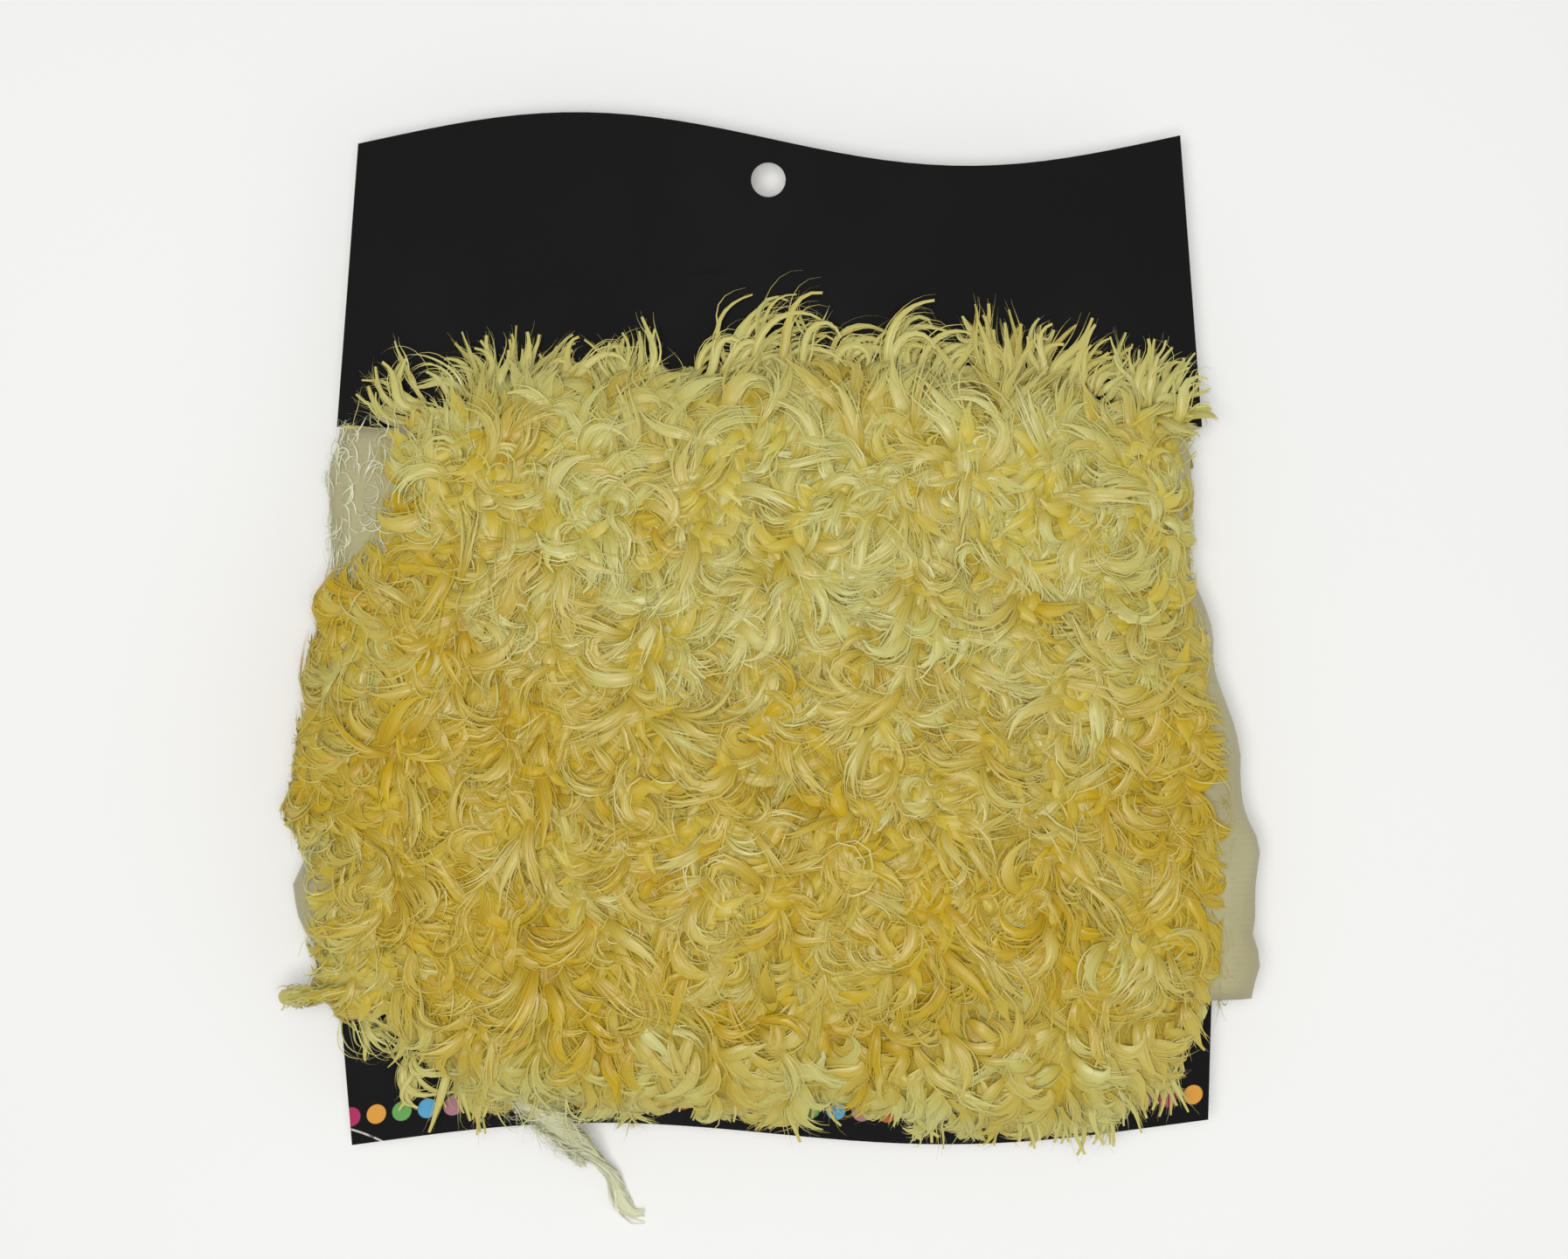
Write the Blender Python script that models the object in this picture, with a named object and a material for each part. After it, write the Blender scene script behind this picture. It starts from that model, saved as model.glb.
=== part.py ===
"""Faux fur trim wound flat on a stiff card: the solids at their real size.

The winding lies on its back on the plane z = 0 with the fur's face up. +X runs to the right across
the face, +Y runs from the fur up to the card's header, and the origin is in the flat underside,
below the middle of the strip's width.
"""

import math
import random

import bmesh
import bpy
import numpy as np
from mathutils import Vector

MM = 0.001

# The gap that two touching solids keep
SEAT_GAP = 0.3 * MM

# The card: a plate with a wavy top and bottom, and a notch in each side that the strip lies in
CARD_THICKNESS = 0.6 * MM
CARD_TOP_Y = 102.5 * MM
CARD_BOTTOM_Y = -75.3 * MM
CARD_WAVE_LENGTH = 140 * MM
CARD_TOP_WAVE = 4.8 * MM
CARD_BOTTOM_WAVE = 2.6 * MM
CARD_BOTTOM_SLOPE = 0.02
CARD_WAVE_STEPS = 36
NOTCH_HALF_WIDTH = 71.5 * MM
NOTCH_TOP_Y = 51.0 * MM
NOTCH_BOTTOM_Y = -51.5 * MM
HANG_HOLE_RADIUS = 3.1 * MM
HANG_HOLE_X = -0.6 * MM
HANG_HOLE_Y = 95.2 * MM
HANG_HOLE_SIDES = 28

# Where the card's side edges run, at its corners and at the shoulders above and below the strip
CARD_SIDES = {
    "header_corner": {"left": -73.9 * MM, "right": 73.0 * MM},
    "upper_shoulder": {"left": -77.7 * MM, "right": 76.9 * MM},
    "lower_shoulder": {"left": -77.2 * MM, "right": 78.6 * MM},
    "foot_corner": {"left": -75.0 * MM, "right": 78.0 * MM},
}

# The winding: heights are measured from the card's mid-plane
BACK_DEPTH = 14.0 * MM
BACK_FULLNESS = 16.6 * MM
FRONT_HEIGHT = 19.5 * MM
RIM_HEIGHT = 7.0 * MM
RIM_ROUNDING = 24 * MM
STRIP_TOP_Y = 50.5 * MM
STRIP_BOTTOM_Y = -51.0 * MM
SHOULDER_POWER = 3.0

# How far the pile stands over the strip's cut edges, and how fast that fades at the turned sides
OVERHANG = {
    "front": {"top": 8.5 * MM, "bottom": 16.0 * MM},
    "back": {"top": 6.0 * MM, "bottom": 12.0 * MM},
}
OVERHANG_POWER = 8

# How far the turns reach to each side, down the width of the strip: loose and wavy low down
TURN_REACH = [
    {"y": 51 * MM, "left": 78.2 * MM, "right": 74.4 * MM},
    {"y": 42 * MM, "left": 79.5 * MM, "right": 75.1 * MM},
    {"y": 30 * MM, "left": 79.0 * MM, "right": 74.8 * MM},
    {"y": 20 * MM, "left": 80.0 * MM, "right": 77.4 * MM},
    {"y": 8 * MM, "left": 84.2 * MM, "right": 79.4 * MM},
    {"y": -4 * MM, "left": 85.5 * MM, "right": 83.4 * MM},
    {"y": -14 * MM, "left": 86.4 * MM, "right": 84.3 * MM},
    {"y": -25 * MM, "left": 83.8 * MM, "right": 87.5 * MM},
    {"y": -38 * MM, "left": 85.4 * MM, "right": 86.6 * MM},
    {"y": -46 * MM, "left": 81.4 * MM, "right": 87.6 * MM},
    {"y": -51 * MM, "left": 80.6 * MM, "right": 86.0 * MM},
]

# The grid of the winding's skin
FLAT_CELLS = 32
SIDE_CELLS = 6
LENGTH_CELLS = 28
RIM_ROWS = 2
FLAT_SHARE = 0.94

# Lumps where tufts bunch together
LUMP_SIZE = 15 * MM
LUMP_HEIGHT = 1.9 * MM
LUMP_WAVES = 6
LUMP_SIZES = 3
LUMP_SIZE_STEP = 0.25
RIM_RIPPLE = 1.6 * MM
RIM_RIPPLE_LENGTH = 31 * MM
GOLDEN_ANGLE = math.radians(137.5)

# Locks of pile along the rims, and on the front's crown next to them. A lock's ways are shares of
# its length: it fans out towards the card's sides, leans to either side, and hooks over at its tip
LOCK_SEED = 7
LOCK_STEPS = (0.35, 0.7)
LOCK_TAPER = 0.74
LOCK_LENGTH = {
    "front": {"top": 14.0 * MM, "bottom": 9.5 * MM},
    "back": {"top": 10.0 * MM, "bottom": 8.0 * MM},
}
LOCK_SHORTEST = 0.75
LOCK_LONGEST = 1.1
LOCK_SIDE_LOSS = 0.45
LOCK_FAN = 0.7
LOCK_LEAN = 0.45
LOCK_HOOK_ASIDE = 0.4
LOCK_HOOK_AHEAD = 0.12
CROWN_BANDS = {"top": (1, 3), "bottom": (0, 2)}
CROWN_LIFT = 0.3
UPPER_LOCK_FALL = 0.2

# The curled lock that stands out at the lower left turn
CORNER_LOCK_Y = -48.5 * MM
CORNER_LOCK_REACH = 2.5 * MM
CORNER_LOCK_LENGTH = 7.5 * MM
CORNER_LOCK_WAY = (-1.0, -0.15, 0.0)
CORNER_LOCK_HOOK = (0.0, 0.35, 0.0)

# The frayed end: a narrow flat strand that leaves the lower rim, lies on the card, passes over
# its edge and falls to the surface. No lock stands in its way
FRAY_ROOT_X = -45.5 * MM
FRAY_ROOT_GAP = 0.7 * MM
FRAY_WIDTH = 3.2 * MM
FRAY_THICKNESS = 1.4 * MM
FRAY_CARD_Z = BACK_DEPTH + CARD_THICKNESS / 2 + SEAT_GAP + FRAY_THICKNESS / 2
FRAY_TIP_SHARE = 0.7
FRAY_STEPS = 22
FRAY_SIDES = 8
FRAY_ROUTE = [
    {"x": -44.2 * MM, "y": -70.4 * MM, "z": FRAY_CARD_Z},
    {"x": -38.4 * MM, "y": -74.8 * MM, "z": FRAY_CARD_Z},
    {"x": -33.6 * MM, "y": -79.6 * MM, "z": 10.4 * MM},
    {"x": -29.6 * MM, "y": -82.6 * MM, "z": 5.2 * MM},
    {"x": -27.0 * MM, "y": -86.2 * MM, "z": 1.6 * MM},
    {"x": -23.4 * MM, "y": -90.4 * MM, "z": 0.85 * MM},
]
FRAY_WAY_LEFT = -51.0 * MM
FRAY_WAY_RIGHT = -33.0 * MM

CARD_BLACK = (0.012, 0.012, 0.014)
FUR_LEMON = (0.62, 0.52, 0.12)
FRAY_CREAM = (0.68, 0.66, 0.48)


def clear_scene():
    """Removes whatever the file opened with."""
    for thing in list(bpy.data.objects):
        bpy.data.objects.remove(thing, do_unlink=True)


def finish_material(name, colour, roughness):
    """A Principled material with one colour and roughness."""
    material = bpy.data.materials.new(name)
    material.use_nodes = True
    shader = material.node_tree.nodes["Principled BSDF"]
    shader.inputs["Base Color"].default_value = (*colour, 1.0)
    shader.inputs["Roughness"].default_value = roughness
    shader.inputs["Metallic"].default_value = 0.0
    return material


def add_solid(name, mesh_maker, material):
    """Puts a bmesh into the scene as one closed object with its faces pointing out."""
    bmesh.ops.recalc_face_normals(mesh_maker, faces=mesh_maker.faces)
    mesh = bpy.data.meshes.new(name)
    mesh_maker.to_mesh(mesh)
    mesh_maker.free()
    mesh.materials.append(material)
    solid = bpy.data.objects.new(name, mesh)
    bpy.context.collection.objects.link(solid)
    return solid


def wavy_top(x):
    """The header's upper edge: one wave across the card."""
    return CARD_TOP_Y - CARD_TOP_WAVE * math.sin(math.tau * x / CARD_WAVE_LENGTH)


def wavy_bottom(x):
    """The card's lower edge: the same wave, lower and a little askew."""
    wave = CARD_BOTTOM_WAVE * math.sin(math.tau * x / CARD_WAVE_LENGTH)
    return CARD_BOTTOM_Y + CARD_BOTTOM_SLOPE * x - wave


def card_outline():
    """The card's outline, anticlockwise from the foot's left corner."""
    foot, header = CARD_SIDES["foot_corner"], CARD_SIDES["header_corner"]
    lower, upper = CARD_SIDES["lower_shoulder"], CARD_SIDES["upper_shoulder"]
    foot_x = np.linspace(foot["left"], foot["right"], CARD_WAVE_STEPS + 1)
    header_x = np.linspace(header["right"], header["left"], CARD_WAVE_STEPS + 1)
    right_side = [
        (lower["right"], NOTCH_BOTTOM_Y),
        (NOTCH_HALF_WIDTH, NOTCH_BOTTOM_Y),
        (NOTCH_HALF_WIDTH, NOTCH_TOP_Y),
        (upper["right"], NOTCH_TOP_Y),
    ]
    left_side = [
        (upper["left"], NOTCH_TOP_Y),
        (-NOTCH_HALF_WIDTH, NOTCH_TOP_Y),
        (-NOTCH_HALF_WIDTH, NOTCH_BOTTOM_Y),
        (lower["left"], NOTCH_BOTTOM_Y),
    ]
    bottom = [(x, wavy_bottom(x)) for x in foot_x]
    top = [(x, wavy_top(x)) for x in header_x]
    return bottom + right_side + top + left_side


def hole_outline():
    """The round hang hole near the top of the header."""
    turns = [math.tau * i / HANG_HOLE_SIDES for i in range(HANG_HOLE_SIDES)]
    return [
        (HANG_HOLE_X + HANG_HOLE_RADIUS * math.cos(t), HANG_HOLE_Y + HANG_HOLE_RADIUS * math.sin(t))
        for t in turns
    ]


def closed_edges(maker, outline, z):
    """Adds an outline as a closed ring of edges at height z."""
    ring = [maker.verts.new((x, y, z)) for x, y in outline]
    return [maker.edges.new((a, b)) for a, b in zip(ring, ring[1:] + ring[:1])]


def build_card(material):
    """The plate: its outline and hole are filled flat, then extruded to the card's thickness."""
    maker = bmesh.new()
    z = BACK_DEPTH - CARD_THICKNESS / 2
    edges = closed_edges(maker, card_outline(), z) + closed_edges(maker, hole_outline(), z)
    bmesh.ops.triangle_fill(maker, use_beauty=True, use_dissolve=False, edges=edges)
    raised = bmesh.ops.extrude_face_region(maker, geom=list(maker.faces))["geom"]
    top = [v for v in raised if isinstance(v, bmesh.types.BMVert)]
    bmesh.ops.translate(maker, verts=top, vec=(0, 0, CARD_THICKNESS))
    return add_solid("card", maker, material)


def turn_reach(side, y):
    """How far the winding reaches to one side at each y, read from the table."""
    rows = sorted(TURN_REACH, key=lambda row: row["y"])
    return np.interp(y, [row["y"] for row in rows], [row[side] for row in rows])


def ring_columns():
    """The section's columns, clockwise seen from the foot: (share of reach, height share) pairs.

    The section is a rounded slab: |s|^p + |h|^p = 1. Its front and back are cut into even cells,
    and each turned side into even steps of the slab's angle.
    """
    power = SHOULDER_POWER
    s_flat = np.linspace(-FLAT_SHARE, FLAT_SHARE, FLAT_CELLS + 1)
    h_flat = (1 - np.abs(s_flat) ** power) ** (1 / power)
    corner = math.acos(FLAT_SHARE ** (power / 2))
    angle = np.linspace(corner, -corner, SIDE_CELLS + 1)[1:-1]
    s_side = np.cos(angle) ** (2 / power)
    h_side = np.sign(angle) * np.abs(np.sin(angle)) ** (2 / power)
    share = np.concatenate([s_flat, s_side, s_flat[::-1], -s_side])
    height = np.concatenate([h_flat, h_side, -h_flat[::-1], -h_side])
    return share, height


def slot_columns():
    """The slot that the card passes through, one corner or step for each column."""
    half_width = NOTCH_HALF_WIDTH + SEAT_GAP
    half_height = CARD_THICKNESS / 2 + SEAT_GAP
    x_flat = np.linspace(-half_width, half_width, FLAT_CELLS + 1)
    z_flat = np.full(FLAT_CELLS + 1, half_height)
    z_side = np.linspace(half_height, -half_height, SIDE_CELLS + 1)[1:-1]
    x_side = np.full(SIDE_CELLS - 1, half_width)
    x = np.concatenate([x_flat, x_side, x_flat[::-1], -x_side])
    z = np.concatenate([z_flat, z_side, -z_flat, -z_side])
    return x, z


def rim_y(edge, share, height):
    """Where each column ends, at the top or the bottom: the cut edge plus the pile over it.

    The pile over the edge fades out towards the turned sides, where the card's shoulders are.
    """
    inward = np.clip(1 - (np.abs(share) / FLAT_SHARE) ** OVERHANG_POWER, 0, 1)
    over = np.where(height > 0, OVERHANG["front"][edge], OVERHANG["back"][edge])
    x = share * NOTCH_HALF_WIDTH
    ripple = RIM_RIPPLE * np.sin(math.tau * x / RIM_RIPPLE_LENGTH + np.sign(height))
    reach = inward * (over + ripple)
    return STRIP_TOP_Y + reach if edge == "top" else STRIP_BOTTOM_Y - reach


def lumps(x, y):
    """Rolling tufts: plane waves of nearby sizes, each turned by the golden angle, added up."""
    total = np.zeros_like(x)
    for k in range(LUMP_WAVES):
        turn = GOLDEN_ANGLE * k
        wave = math.tau / (LUMP_SIZE * (1 + LUMP_SIZE_STEP * (k % LUMP_SIZES)))
        total += np.sin(wave * (x * math.cos(turn) + y * math.sin(turn)) + k)
    return total / math.sqrt(LUMP_WAVES)


def outer_skin():
    """The winding's outer skin as a grid of points, rows from the lower rim to the upper one."""
    share, height = ring_columns()
    along = np.linspace(0, 1, LENGTH_CELLS + 1)[:, None]
    low, high = rim_y("bottom", share, height), rim_y("top", share, height)
    y = low + (high - low) * along
    x = share * np.where(share < 0, turn_reach("left", y), turn_reach("right", y))
    inside = np.minimum(y - low, high - y)
    rise = np.sqrt(1 - (1 - np.clip(inside / RIM_ROUNDING, 0, 1)) ** 2)
    full = np.where(height > 0, FRONT_HEIGHT, BACK_FULLNESS)
    z = height * (RIM_HEIGHT + (full - RIM_HEIGHT) * rise)
    z += np.abs(height) * np.sign(height) * rise * LUMP_HEIGHT * lumps(x, y + z)
    return np.stack([x, y, np.maximum(BACK_DEPTH + z, 0)], axis=-1)


def slot_rims():
    """The slot's two rims as grids of points, at the bottom and at the top."""
    share, height = ring_columns()
    x, z = slot_columns()
    return [
        np.stack([x, rim_y(edge, share, height), BACK_DEPTH + z], axis=-1)
        for edge in ("bottom", "top")
    ]


def winding_rows():
    """Closed rows of points: over the skin, across the top rim, down the slot and back out."""
    skin = outer_skin()
    slot_bottom, slot_top = slot_rims()
    across = np.linspace(0, 1, RIM_ROWS + 1)[1:-1]
    top_rim = [skin[-1] + (slot_top - skin[-1]) * t for t in across]
    bottom_rim = [slot_bottom + (skin[0] - slot_bottom) * t for t in across]
    return [*skin, *top_rim, slot_top, slot_bottom, *bottom_rim]


def lock_band(row):
    """Which edge a band of faces has locks at, and whether it is on the crown, or None for both."""
    if LENGTH_CELLS <= row < LENGTH_CELLS + RIM_ROWS:
        return "top", False
    if row > LENGTH_CELLS + RIM_ROWS:
        return "bottom", False
    if LENGTH_CELLS - row in CROWN_BANDS["top"]:
        return "top", True
    if row in CROWN_BANDS["bottom"]:
        return "bottom", True
    return None, False


def grow_lock(maker, root, tip_way, hook_way, length):
    """Draws one face out into a tapered, hooked lock of four sides that ends in a point."""
    start, cap = root.calc_center_median(), root
    for step in (*LOCK_STEPS, 1.0):
        spot = start + tip_way * (length * step) + hook_way * (length * step**2)
        cap = bmesh.ops.extrude_discrete_faces(maker, faces=[cap])["faces"][0]
        middle = cap.calc_center_median()
        for vert in cap.verts:
            vert.co = spot + (vert.co - middle) * LOCK_TAPER
    bmesh.ops.pointmerge(maker, verts=list(cap.verts), merge_co=spot)


def lock_ways(rng, edge, side, share, height):
    """The way in which a lock points, and the way in which it hooks over.

    Locks fan out towards the card's sides. Those near the card lie along it, those above them come
    down to it, and those on the crown stand up a little.
    """
    out = 1.0 if edge == "top" else -1.0
    face = 1.0 if side == "front" else -1.0
    lean = LOCK_FAN * share**3 + rng.uniform(-LOCK_LEAN, LOCK_LEAN)
    if height > RIM_HEIGHT:
        rise = CROWN_LIFT * face
    elif height > RIM_HEIGHT / 2:
        rise = -UPPER_LOCK_FALL * face
    else:
        rise = 0.0
    tip_way = Vector((lean, out, rise)).normalized()
    hook_way = Vector((rng.choice((-1, 1)) * LOCK_HOOK_ASIDE, LOCK_HOOK_AHEAD * out, 0))
    return tip_way, hook_way


def ring_faces(maker):
    """Makes the ring's faces and returns the roots of its locks: each one's face, edge and side.

    Every other face of a band is a root, and the next band's are set off by one.
    """
    rows = [[maker.verts.new(point) for point in row] for row in winding_rows()]
    columns = len(rows[0])
    back_start = FLAT_CELLS + SIDE_CELLS
    roots = []
    for r, row in enumerate(rows):
        after = rows[(r + 1) % len(rows)]
        edge, crown = lock_band(r)
        offset = r // 2 if crown else r
        for c in range(columns):
            d = (c + 1) % columns
            face = maker.faces.new((row[c], row[d], after[d], after[c]))
            on_front = c < FLAT_CELLS
            on_back = back_start <= c < back_start + FLAT_CELLS and not crown
            if edge and (on_front or on_back) and (c + offset) % 2 == 0:
                roots.append((face, edge, "front" if on_front else "back"))
    return roots


def grow_corner_lock(maker):
    """The lock that stands out to the left where the lowest part of the strip turns."""
    middles = {face: face.calc_center_median() for face in maker.faces}
    near = [f for f, middle in middles.items() if abs(middle.y - CORNER_LOCK_Y) < CORNER_LOCK_REACH]
    root = min(near, key=lambda face: middles[face].x)
    grow_lock(maker, root, Vector(CORNER_LOCK_WAY), Vector(CORNER_LOCK_HOOK), CORNER_LOCK_LENGTH)


def build_winding(fur):
    """The wound strip: a ring round the card, with locks drawn out of its rims."""
    rng = random.Random(LOCK_SEED)
    maker = bmesh.new()
    roots = ring_faces(maker)
    bmesh.ops.recalc_face_normals(maker, faces=maker.faces)
    for root, edge, side in roots:
        middle = root.calc_center_median()
        share = middle.x / NOTCH_HALF_WIDTH
        height = abs(middle.z - BACK_DEPTH)
        in_fray_way = FRAY_WAY_LEFT < middle.x < FRAY_WAY_RIGHT and height < RIM_HEIGHT
        tip_way, hook_way = lock_ways(rng, edge, side, share, height)
        length = LOCK_LENGTH[side][edge] * (1 - LOCK_SIDE_LOSS * share**4)
        length *= rng.uniform(LOCK_SHORTEST, LOCK_LONGEST)
        if not (side == "front" and edge == "bottom" and in_fray_way):
            grow_lock(maker, root, tip_way, hook_way, length)
    grow_corner_lock(maker)
    return add_solid("fur_trim", maker, fur)


def smooth_route(points, steps):
    """Even points on a Catmull-Rom curve through the given ones."""
    padded = [2 * points[0] - points[1], *points, 2 * points[-1] - points[-2]]
    route = []
    for a, b, c, d in zip(padded, padded[1:], padded[2:], padded[3:]):
        for t in np.linspace(0, 1, steps, endpoint=False):
            pull = (2 * b, c - a, 2 * a - 5 * b + 4 * c - d, 3 * b - a - 3 * c + d)
            route.append(sum((p * t**k for k, p in enumerate(pull)), Vector()) / 2)
    return [*route, points[-1]]


def fray_root():
    """Where the strand leaves the lower rim, lying on the card."""
    share = np.array([FRAY_ROOT_X / NOTCH_HALF_WIDTH * FLAT_SHARE])
    edge = float(rim_y("bottom", share, np.ones(1))[0])
    return Vector((FRAY_ROOT_X, edge - FRAY_ROOT_GAP, FRAY_CARD_Z))


def build_frayed_end(cream):
    """The strand: a flat oval carried along its route, slimmer towards the tip."""
    points = [fray_root()] + [Vector((row["x"], row["y"], row["z"])) for row in FRAY_ROUTE]
    route = smooth_route(points, FRAY_STEPS // len(FRAY_ROUTE) + 1)
    maker = bmesh.new()
    rings = []
    for i, spot in enumerate(route):
        ahead, behind = route[min(i + 1, len(route) - 1)], route[max(i - 1, 0)]
        forward = (ahead - behind).normalized()
        sideways = forward.cross(Vector((0, 0, 1))).normalized()
        upward = sideways.cross(forward)
        slim = 1 - (1 - FRAY_TIP_SHARE) * i / (len(route) - 1)
        ring = []
        for k in range(FRAY_SIDES):
            turn = math.tau * k / FRAY_SIDES
            across = sideways * (FRAY_WIDTH / 2 * slim * math.cos(turn))
            over = upward * (FRAY_THICKNESS / 2 * slim * math.sin(turn))
            ring.append(maker.verts.new(spot + across + over))
        rings.append(ring)
    for one, two in zip(rings, rings[1:]):
        for k in range(FRAY_SIDES):
            n = (k + 1) % FRAY_SIDES
            maker.faces.new((one[k], one[n], two[n], two[k]))
    maker.faces.new(rings[0])
    maker.faces.new(rings[-1])
    return add_solid("frayed_end", maker, cream)


def main():
    clear_scene()
    build_card(finish_material("printed_card", CARD_BLACK, 0.4))
    build_winding(finish_material("yellow_fur", FUR_LEMON, 0.8))
    build_frayed_end(finish_material("cream_strand", FRAY_CREAM, 0.85))


main()
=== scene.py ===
"""Looks of a faux fur trim that is wound flat on a stiff card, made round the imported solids.

The trim is one strip of knitted cloth with a long curled pile. It is wound in a flat spiral round
the card's notches. The pile stands in locks, and each lock is a bunch of narrow fibre ribbons.
Sizes in the classes are in millimetres, and the finished meshes are in metres.
"""

from __future__ import annotations

import logging
import math
from collections.abc import Sequence
from dataclasses import dataclass, field, fields, replace
from enum import Enum

import bpy
import numpy as np
from numpy.typing import NDArray
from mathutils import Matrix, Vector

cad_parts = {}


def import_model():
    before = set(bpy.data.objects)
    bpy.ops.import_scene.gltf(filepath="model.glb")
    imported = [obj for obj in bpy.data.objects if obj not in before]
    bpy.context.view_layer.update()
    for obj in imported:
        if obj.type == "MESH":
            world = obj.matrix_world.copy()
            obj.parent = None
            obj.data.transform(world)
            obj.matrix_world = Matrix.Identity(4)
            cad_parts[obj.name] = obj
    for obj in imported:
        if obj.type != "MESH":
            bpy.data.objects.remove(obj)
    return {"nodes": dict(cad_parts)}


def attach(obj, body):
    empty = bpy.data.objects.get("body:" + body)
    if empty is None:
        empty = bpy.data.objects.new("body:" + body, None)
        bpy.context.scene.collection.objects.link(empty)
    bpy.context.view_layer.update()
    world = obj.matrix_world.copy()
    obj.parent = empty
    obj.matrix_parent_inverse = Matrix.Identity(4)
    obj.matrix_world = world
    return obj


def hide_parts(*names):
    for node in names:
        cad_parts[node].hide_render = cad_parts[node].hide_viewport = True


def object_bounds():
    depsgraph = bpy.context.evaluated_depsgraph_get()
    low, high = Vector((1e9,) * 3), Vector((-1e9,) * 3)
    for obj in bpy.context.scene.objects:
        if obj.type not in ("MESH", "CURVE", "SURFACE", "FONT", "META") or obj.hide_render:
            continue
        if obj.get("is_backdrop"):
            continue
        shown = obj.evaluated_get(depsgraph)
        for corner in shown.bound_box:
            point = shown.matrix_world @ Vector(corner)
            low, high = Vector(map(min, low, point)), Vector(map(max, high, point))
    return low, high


LOG = logging.getLogger("fur_trim")
MM = 0.001
TAU = math.tau
GOLDEN_ANGLE = math.radians(137.5)
PILE_MAP = "OFBake"

Array = NDArray[np.float64]
Colour = tuple[float, float, float]
Place = tuple[float, float, float]
Socket = bpy.types.NodeSocket


class Rim(Enum):
    """The two cut edges of the strip: the one at the header and the one at the card's foot."""

    HEADER = 1
    FOOT = -1


class Face(Enum):
    """The two broad sides of the wound strip."""

    FRONT = 1
    BACK = -1


# Shapes as arrays.


def smooth_step(low: float, high: float, value: Array) -> Array:
    """Rises from 0 at low to 1 at high along the cubic 3t^2 - 2t^3."""
    t = np.clip((value - low) / (high - low), 0.0, 1.0)
    return t * t * (3.0 - 2.0 * t)


def plane_waves(x: Array, y: Array, size: float, start: float, waves: int = 7) -> Array:
    """Soft uneven hills: the sum of plane waves, each turned by the golden angle from the last.

    Args:
        x, y: where the hills are read.
        size: the length of the shortest wave.
        start: an offset of the phases, so that each use has hills of its own.
        waves: how many waves are added.

    Returns:
        Heights of about -1 to 1.
    """
    total = np.zeros(np.broadcast(x, y).shape)
    for k in range(waves):
        turn = GOLDEN_ANGLE * k + start
        wave = TAU / (size * (1 + 0.27 * (k % 4)))
        total += np.sin(wave * (x * math.cos(turn) + y * math.sin(turn)) + start * (k + 1))
    return total / math.sqrt(waves)


def unit(vectors: Array) -> Array:
    """The vectors at length 1."""
    return vectors / np.maximum(np.linalg.norm(vectors, axis=-1, keepdims=True), 1e-9)


def mesh_from_quads(name: str, points: Array, quads: Array, uv: Array | None) -> bpy.types.Mesh:
    """Makes a smooth mesh from whole arrays.

    Args:
        name: the mesh's name.
        points: (n, 3) places in millimetres.
        quads: (m, 4) corners of each face.
        uv: (n, 2) place of each point on the piece's map, or None.

    Returns:
        The mesh, in metres.
    """
    mesh = bpy.data.meshes.new(name)
    mesh.vertices.add(len(points))
    mesh.vertices.foreach_set("co", (points * MM).astype(np.float32).ravel())
    mesh.loops.add(quads.size)
    mesh.loops.foreach_set("vertex_index", quads.astype(np.int32).ravel())
    mesh.polygons.add(len(quads))
    mesh.polygons.foreach_set("loop_start", np.arange(0, quads.size, 4, dtype=np.int32))
    mesh.update(calc_edges=True)
    mesh.polygons.foreach_set("use_smooth", np.ones(len(quads), dtype=bool))
    if uv is not None:
        layer = mesh.uv_layers.new(name=PILE_MAP)
        layer.data.foreach_set("uv", uv[quads.ravel()].astype(np.float32).ravel())
    mesh.validate()
    return mesh


def grid_quads(rows: int, columns: int, wrap: bool = False) -> Array:
    """Corners of the faces of a grid whose points are numbered row by row.

    Args:
        rows, columns: how many points there are each way.
        wrap: whether the last column joins the first.

    Returns:
        (faces, 4) numbers of the points at each face's corners.
    """
    index = np.arange(rows * columns).reshape(rows, columns)
    right = np.roll(index, -1, axis=1)
    width = columns if wrap else columns - 1
    corners = (index[:-1, :width], right[:-1, :width], right[1:, :width], index[1:, :width])
    return np.stack(corners, axis=-1).reshape(-1, 4)


def add_piece(
    name: str, mesh: bpy.types.Mesh, finish: bpy.types.Material, slot: str
) -> bpy.types.Object:
    """Puts a mesh into the scene as a piece that rides on the one body.

    Args:
        name: the piece's name.
        mesh: its mesh, in metres.
        finish: its material.
        slot: the name of its finish's slot; not used.

    Returns:
        The piece.
    """
    mesh.materials.append(finish)
    piece = bpy.data.objects.new(name, mesh)
    bpy.context.collection.objects.link(piece)
    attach(piece, "root")
    LOG.info("%s: %d faces", name, len(mesh.polygons))
    return piece


# Materials.


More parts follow.
